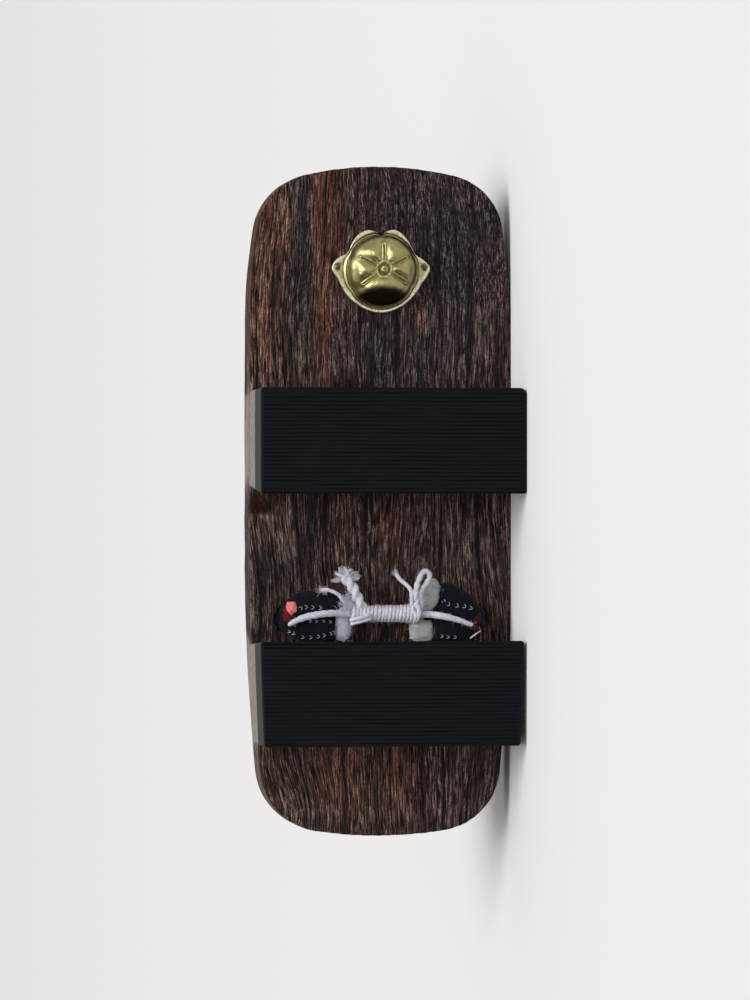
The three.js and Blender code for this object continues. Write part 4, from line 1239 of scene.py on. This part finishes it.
def strap_ends():
    """The straps' ends under the board, as four creased lobes with their stitches."""
    z = UNDERSIDE - GAP - LOBE_THICKNESS / 2
    around = 96
    for number, lobe in enumerate(LOBES):
        side, middle_x, middle_y, wide = lobe["side"], lobe["middle_x"], 31.5, lobe["wide"]
        outer, from_hole = lobe.get("outer", 1), REAR_HOLE_X - middle_x
        rows = [
            (REAR_HOLE_X - 0.3 * from_hole, REAR_HOLE_Y + 3.4, z + 1.4, 0.35 * wide * outer, 4),
            (REAR_HOLE_X - 0.4 * from_hole, REAR_HOLE_Y + 1.2, z + 0.5, 0.75 * wide * outer, 7),
            ((REAR_HOLE_X + middle_x) / 2, REAR_HOLE_Y - 1.5, z, 0.92 * wide * (1 + outer) / 2, 8),
            (middle_x, middle_y, z, wide, LOBE_THICKNESS),
            ((middle_x + lobe["end_x"]) / 2, (middle_y + lobe["end_y"]) / 2, z, wide, LOBE_THICKNESS),
            (lobe["end_x"], lobe["end_y"] + 2, z, 0.9 * wide, 0.92 * LOBE_THICKNESS),
            (lobe["end_x"], lobe["end_y"], z, 0.7 * wide, 0.7 * LOBE_THICKNESS),
        ]

        def folds(run, angle):
            deep = sum(depth * swell(run - at - lean * np.cos(angle), 0, 1.1)
                       for at, depth, lean in ((3.5, 0.12, 2), (8, 0.08, -3), (13.5, 0.07, 3), (20, 0.1, -2)))
            lengthwise = 0.05 * swell(np.sin(angle * 2 + number), 0.9, 0.25)
            ripple = 0.04 * (noise(run / 3, angle * 2, 70 + number) - 0.5)
            return deep * (0.4 + 0.6 * np.sin(angle + number)) + lengthwise + ripple

        points, normals, maps, along = padded_grid(
            rows, 12, facing_down, around, mirrored=side, crease=folds)
        grid, uv = capped(points, maps)
        piece = add_mesh(f"strap_end_{lobe['name']}", [grid], [uv])
        finish_piece(piece, STRAP_CLOTH, "strap_cloth")
        run = length_along(points.mean(1))
        spots = []
        for first, last, start, stop in LOBE_STITCHES[lobe["name"]]:
            rings = [ring for ring, _ in rows_of_spots(run, [0], start, stop)]
            shares = np.linspace(first, last, len(rings))
            spots += [(ring, int(around * share)) for ring, share in zip(rings, shares)]
        stitches = stitch_grids(points, normals, -side * along, spots)
        finish_fibres(f"strap_end_stitches_{lobe['name']}", stitches, THREAD)


straps()
front_loop()
strap_ends()

# ---------------------------------------------------------------- padding and loose bits under the board

# Cushions: where each lies, how long, how far across and how high it is, how square, how far it is turned in
# radians, its material, and how deep it is crumpled.
PADDING = [
    {"name": "padding_right_heel", "x": -49.4, "y": -15.6, "z": 34.2, "long": 13.6, "across": 7.4,
     "high": 6.6, "square": 0.6, "turn": 0.12, "material": PAD_COTTON, "crumple": 0},
    {"name": "padding_left_toe", "x": -37.3, "y": 19.3, "z": 34.2, "long": 13.6, "across": 8.4,
     "high": 6.8, "square": 0.85, "turn": 0.16, "material": PAD_CLOTH, "crumple": 0},
    {"name": "padding_left_heel", "x": -51.6, "y": 15.7, "z": 34.2, "long": 9.6, "across": 10.6,
     "high": 6.8, "square": 0.55, "turn": 0, "material": PAD_CLOTH, "crumple": 0},
]
# The ends of the red lining, which show beside the holes; the darker copies of the red cloth on three of them
# are painted shade.
LINING_ENDS = [
    {"name": "lining_end_right_toe", "x": -42.3, "y": -36.6, "z": 30.0, "long": 6.4, "across": 5.0,
     "high": 3.6, "square": 0.8, "turn": -0.3, "material": LINING_CLOTH, "crumple": 0.26},
    {"name": "lining_end_right_heel", "x": -45.2, "y": -38.0, "z": 31.0, "long": 7.4, "across": 5.0,
     "high": 3.6, "square": 0.9, "turn": -0.2, "material": DARK_LINING, "crumple": 0.3},
    {"name": "lining_end_left", "x": -47.0, "y": 37.6, "z": 30.8, "long": 7.0, "across": 3.8,
     "high": 3.6, "square": 0.9, "turn": 0.35, "material": DEEP_SHADE_LINING, "crumple": 0.3},
    {"name": "lining_end_left_heel", "x": -50.3, "y": 36.3, "z": 28.0, "long": 3.8, "across": 4.8,
     "high": 4.0, "square": 0.9, "turn": 0.5, "material": DEEP_SHADE_LINING, "crumple": 0.3},
]


def cushion(name, row, number):
    """A flattened cushion: a superellipsoid, squarer as its power falls, with a seam and soft dents."""
    around = np.linspace(0, 2 * np.pi, 97)[None, :]
    rise = np.linspace(-np.pi / 2 + 0.03, np.pi / 2 - 0.03, 49)[:, None]
    plump = [np.sign(f) * np.abs(f) ** row["square"] for f in (np.cos(around), np.sin(around))]
    drawn = np.cos(rise) ** 0.75 * (1 - 0.05 * swell(rise, 0.1, 0.1))
    wave = np.stack([np.cos(around) + 0 * rise, np.sin(around) + 0 * rise])
    folds = noise(2.2 * wave[0] + 7 * number, 1.3 * wave[1] + 2 * rise, 85)
    folds = folds + 0.4 * noise(5 * wave[0], 5 * wave[1] + 3 * rise, 86) - 0.7
    dents = (1 - 0.12 * noise(around * 1.6 + 9 * number, rise * 2.2, 81)
             + 0.05 * noise(around * 5, rise * 6, 82) + row["crumple"] * folds * 0.8)
    along = row["long"] / 2 * drawn * plump[0] * dents
    sideways = row["across"] / 2 * drawn * plump[1] * dents
    cos, sin = np.cos(row["turn"]), np.sin(row["turn"])
    grid = np.stack([row["x"] + cos * along - sin * sideways, row["y"] + sin * along + cos * sideways,
                     np.broadcast_to(row["z"] - row["high"] / 2 * np.sin(rise), along.shape)], -1)
    grid[:, -1] = grid[:, 0]
    skin, uv = capped(grid, grid[..., :2] - (row["x"], row["y"]))
    piece = add_mesh(name, [skin], [uv])

    def matted(x, y, z):
        return -0.4 * noise(x / 0.9, y / 1.8, 83) - 0.3 * noise(x / 0.5, y / 0.6, 84)

    raise_surface(piece, matted)
    return piece


def pads():
    """The three tufts of padding and the ends of the lining; each cushion's number sets its dents."""
    for number, row in enumerate(PADDING):
        piece = cushion(f"{row['name']}_tab", row, number)
        finish_piece(piece, row["material"], "cotton_padding", row["name"])
    for number, row in enumerate(LINING_ENDS, 5):
        finish_piece(cushion(row["name"], row, number), row["material"], "strap_cloth")


def strand_grids(starts, ends, bow, thick, rings=9, around=7):
    """Many thin tapering strands at once: each runs from its start to its end along a parabola that bows
    out by its bow, and its radius falls to a fifth at the tip."""
    share = np.linspace(0, 1, rings)[None, :, None]
    starts, ends, bow = (np.asarray(a, float)[:, None] for a in (starts, ends, bow))
    spine = starts + (ends - starts) * share + 4 * share * (1 - share) * bow
    way = unit(ends - starts + 4 * (1 - 2 * share) * bow)
    other = unit(np.cross(way, np.array([0.31, 0.22, 0.93])))
    third = np.cross(way, other)
    turn = np.linspace(0, 2 * np.pi, around)[None, None, :, None]
    radius = (np.asarray(thick, float)[:, None, None] * (1 - 0.8 * share**2))[..., None]
    tubes = spine[:, :, None] + radius * (np.cos(turn) * other[:, :, None] + np.sin(turn) * third[:, :, None])
    ends_in = [np.broadcast_to(t.mean(2, keepdims=True), t.shape) for t in (tubes[:, :1], tubes[:, -1:])]
    return np.concatenate([ends_in[0], tubes, ends_in[1]], 1)


def frayed_tip():
    """The tail's plies come apart at its tip into a few tufts with fine fibres between them."""
    random = np.random.default_rng(91)
    tip = np.array([-30.6, -14.6, 31.5])
    tufts = np.array([(-31.5, -20.6, 31), (-28.6, -19.4, 30), (-26.3, -15.8, 30.4), (-27.2, -12.6, 30.6),
                      (-29.2, -10.2, 31.4), (-30.4, -9.4, 32.4), (-26.8, -17.4, 32)])
    count = 170
    pick = random.integers(0, len(tufts), count)
    ends = tufts[pick] + random.normal(0, 0.5, (count, 3))
    grids = [
        strand_grids(np.repeat(tip[None], len(tufts), 0), tufts, random.normal(0, 0.7, (len(tufts), 3)),
                     np.full(len(tufts), 0.95)),
        strand_grids(tip + random.normal(0, 0.5, (count, 3)), ends, random.normal(0, 0.7, (count, 3)),
                     np.full(count, 0.13)),
    ]
    rings, around = grids[0].shape[1:3]
    fibre_map = np.stack(np.meshgrid(np.arange(around) * 0.3, np.arange(float(rings))), -1)
    maps = [np.broadcast_to(fibre_map, (*grid.shape[:3], 2)) for grid in grids]
    finish_piece(add_mesh("frayed_tip", grids, maps), CORD_COTTON, "cotton_cord")


def fuzz():
    """Short broken fibres that stand off the winding."""
    random = np.random.default_rng(92)
    count = 520
    y = random.uniform(-15, 16, count)
    turn = random.uniform(np.pi, 2 * np.pi, count)
    starts = np.stack([WINDING_X + 3.1 * np.cos(turn), y, WINDING_Z + 4.1 * np.sin(turn)], -1)
    out = unit(starts - np.array([WINDING_X, 0, WINDING_Z]) - np.stack([0 * y, y, 0 * y], -1))
    ends = starts + out * random.uniform(0.2, 0.8, (count, 1)) + random.normal(0, 0.5, (count, 3))
    bow = random.normal(0, 0.25, (count, 3))
    grid = strand_grids(starts, ends, bow, np.full(count, 0.045), rings=5, around=4)
    finish_fibres("cord_fuzz", grid)


# Loose tufts of fibres: where each lies and how far it spreads, how many fibres, how long and how thick, and
# the seed of its chance numbers.
TUFTS = [
    {"name": "cotton_tuft", "at": (-41.4, -14.6, 30.2), "spread": (2.0, 1.5, 1.0), "count": 800,
     "long": 1.1, "thick": 0.07, "material": CORD_COTTON, "seed": 93},
    {"name": "cotton_tuft_end", "at": (-35.5, -24.2, 28.6), "spread": (0.4, 1.1, 0.3), "count": 90,
     "long": 0.9, "thick": 0.06, "material": CORD_COTTON, "seed": 94},
    {"name": "red_lint", "at": (-35.4, -18.2, 28.8), "spread": (1.1, 0.9, 0.4), "count": 55,
     "long": 0.9, "thick": 0.05, "material": DEEP_SHADE_LINING, "seed": 95},
    {"name": "cotton_tuft_tip", "at": (-28.8, 4.8, 30.4), "spread": (0.35, 0.45, 0.35), "count": 70,
     "long": 0.75, "thick": 0.05, "material": CORD_COTTON, "seed": 98},
    {"name": "pad_fuzz_left_heel", "at": (-51.6, 15.7, 31.2), "spread": (2.0, 2.2, 0.4), "count": 300,
     "long": 0.7, "thick": 0.04, "material": PAD_CLOTH, "seed": 100},
    {"name": "pad_fuzz_left_toe", "at": (-37.3, 19.3, 31.0), "spread": (3.0, 1.6, 0.4), "count": 300,
     "long": 0.7, "thick": 0.04, "material": PAD_CLOTH, "seed": 101},
    {"name": "pad_fuzz_right", "at": (-50.0, -15.6, 31.4), "spread": (2.6, 1.5, 0.5), "count": 420,
     "long": 0.8, "thick": 0.045, "material": CORD_COTTON, "seed": 99},
    {"name": "cotton_tuft_left", "at": (-42.6, 14.2, 30), "spread": (1.5, 1.6, 0.8), "count": 200,
     "long": 1.0, "thick": 0.06, "material": CORD_COTTON, "seed": 96},
]


def loose_tufts():
    """Tufts of curled cotton and red lint where the cords press on the padding, and fuzz on the padding."""
    for row in TUFTS:
        random = np.random.default_rng(row["seed"])
        count, long = row["count"], row["long"]
        starts = np.array(row["at"]) + random.normal(0, 1, (count, 3)) * row["spread"]
        ends = starts + random.normal(0, 1, (count, 3)) * (long, long, 0.4 * long)
        bow = random.normal(0, 0.45 * long, (count, 3))
        grid = strand_grids(starts, ends, bow, np.full(count, row["thick"]), rings=9, around=5)
        finish_fibres(row["name"], grid, row["material"])


# Short cords that lie loose: each one's radius and the points it runs through.
LOOSE_CORDS = [
    {"name": "stray_thread", "radius": 0.75, "through": [
        (-35.4, -25.2, 28.6), (-35.2, -23, 28.2), (-36, -20.4, 28), (-37.4, -18, 28.2), (-40, -16, 29.4)]},
    {"name": "seam_thread_left", "radius": 0.34, "through": [
        (-54.6, 34.4, 28.9), (-53, 36.6, 28.5), (-51.4, 38.9, 28.9)]},
    {"name": "crossing_strand_first", "radius": 0.85, "through": [
        (-45.0, -5.4, 27.7), (-45.9, -8.2, 27), (-46.7, -11, 27.1), (-47.3, -13.8, 28.4)]},
    {"name": "crossing_strand_second", "radius": 0.8, "through": [
        (-46.5, -5.2, 27.9), (-47.4, -8.2, 27.6), (-48.2, -11.2, 28), (-48.8, -13.4, 29.4)]},
    {"name": "knot_strand", "radius": 1.05, "through": [
        (-47.9, 12.4, 30.4), (-46.6, 13.3, 28.4), (-44.3, 13.8, 27.3), (-42, 13.2, 27.4),
        (-40.6, 11.9, 28.6)]},
]


def loose_cords():
    """A thread end beside the tail, the seam's thread on the left strap's end, two strands that cross the
    winding and one round its knot."""
    for row in LOOSE_CORDS:
        path = curve_through(row["through"], 12)
        grid, uv = cord_grid(path, row["radius"], depth=0.14, pitch=5, around=16)
        finish_piece(add_mesh(row["name"], [grid], [uv]), CORD_COTTON, "cotton_cord")


def cord_lint():
    """Fine fibres that stand off the two tie cords, the loop and the tail."""
    random = np.random.default_rng(97)
    count = 420
    for name, rows, radius in (("right", RIGHT_CORD, 1.35), ("left", LEFT_CORD, 1.4)):
        path = even_path(rows)
        pick = random.integers(0, len(path), count)
        out = unit(random.normal(0, 1, (count, 3)) - (0, 0, 0.6))
        starts = path[pick] + radius * 0.9 * out
        ends = starts + out * random.uniform(0.1, 0.5, (count, 1)) + random.normal(0, 0.5, (count, 3))
        bow = random.normal(0, 0.2, (count, 3))
        grid = strand_grids(starts, ends, bow, np.full(count, 0.045), rings=5, around=4)
        finish_fibres(f"cord_lint_{name}", grid)


pads()
frayed_tip()
fuzz()
loose_cords()
loose_tufts()
cord_lint()
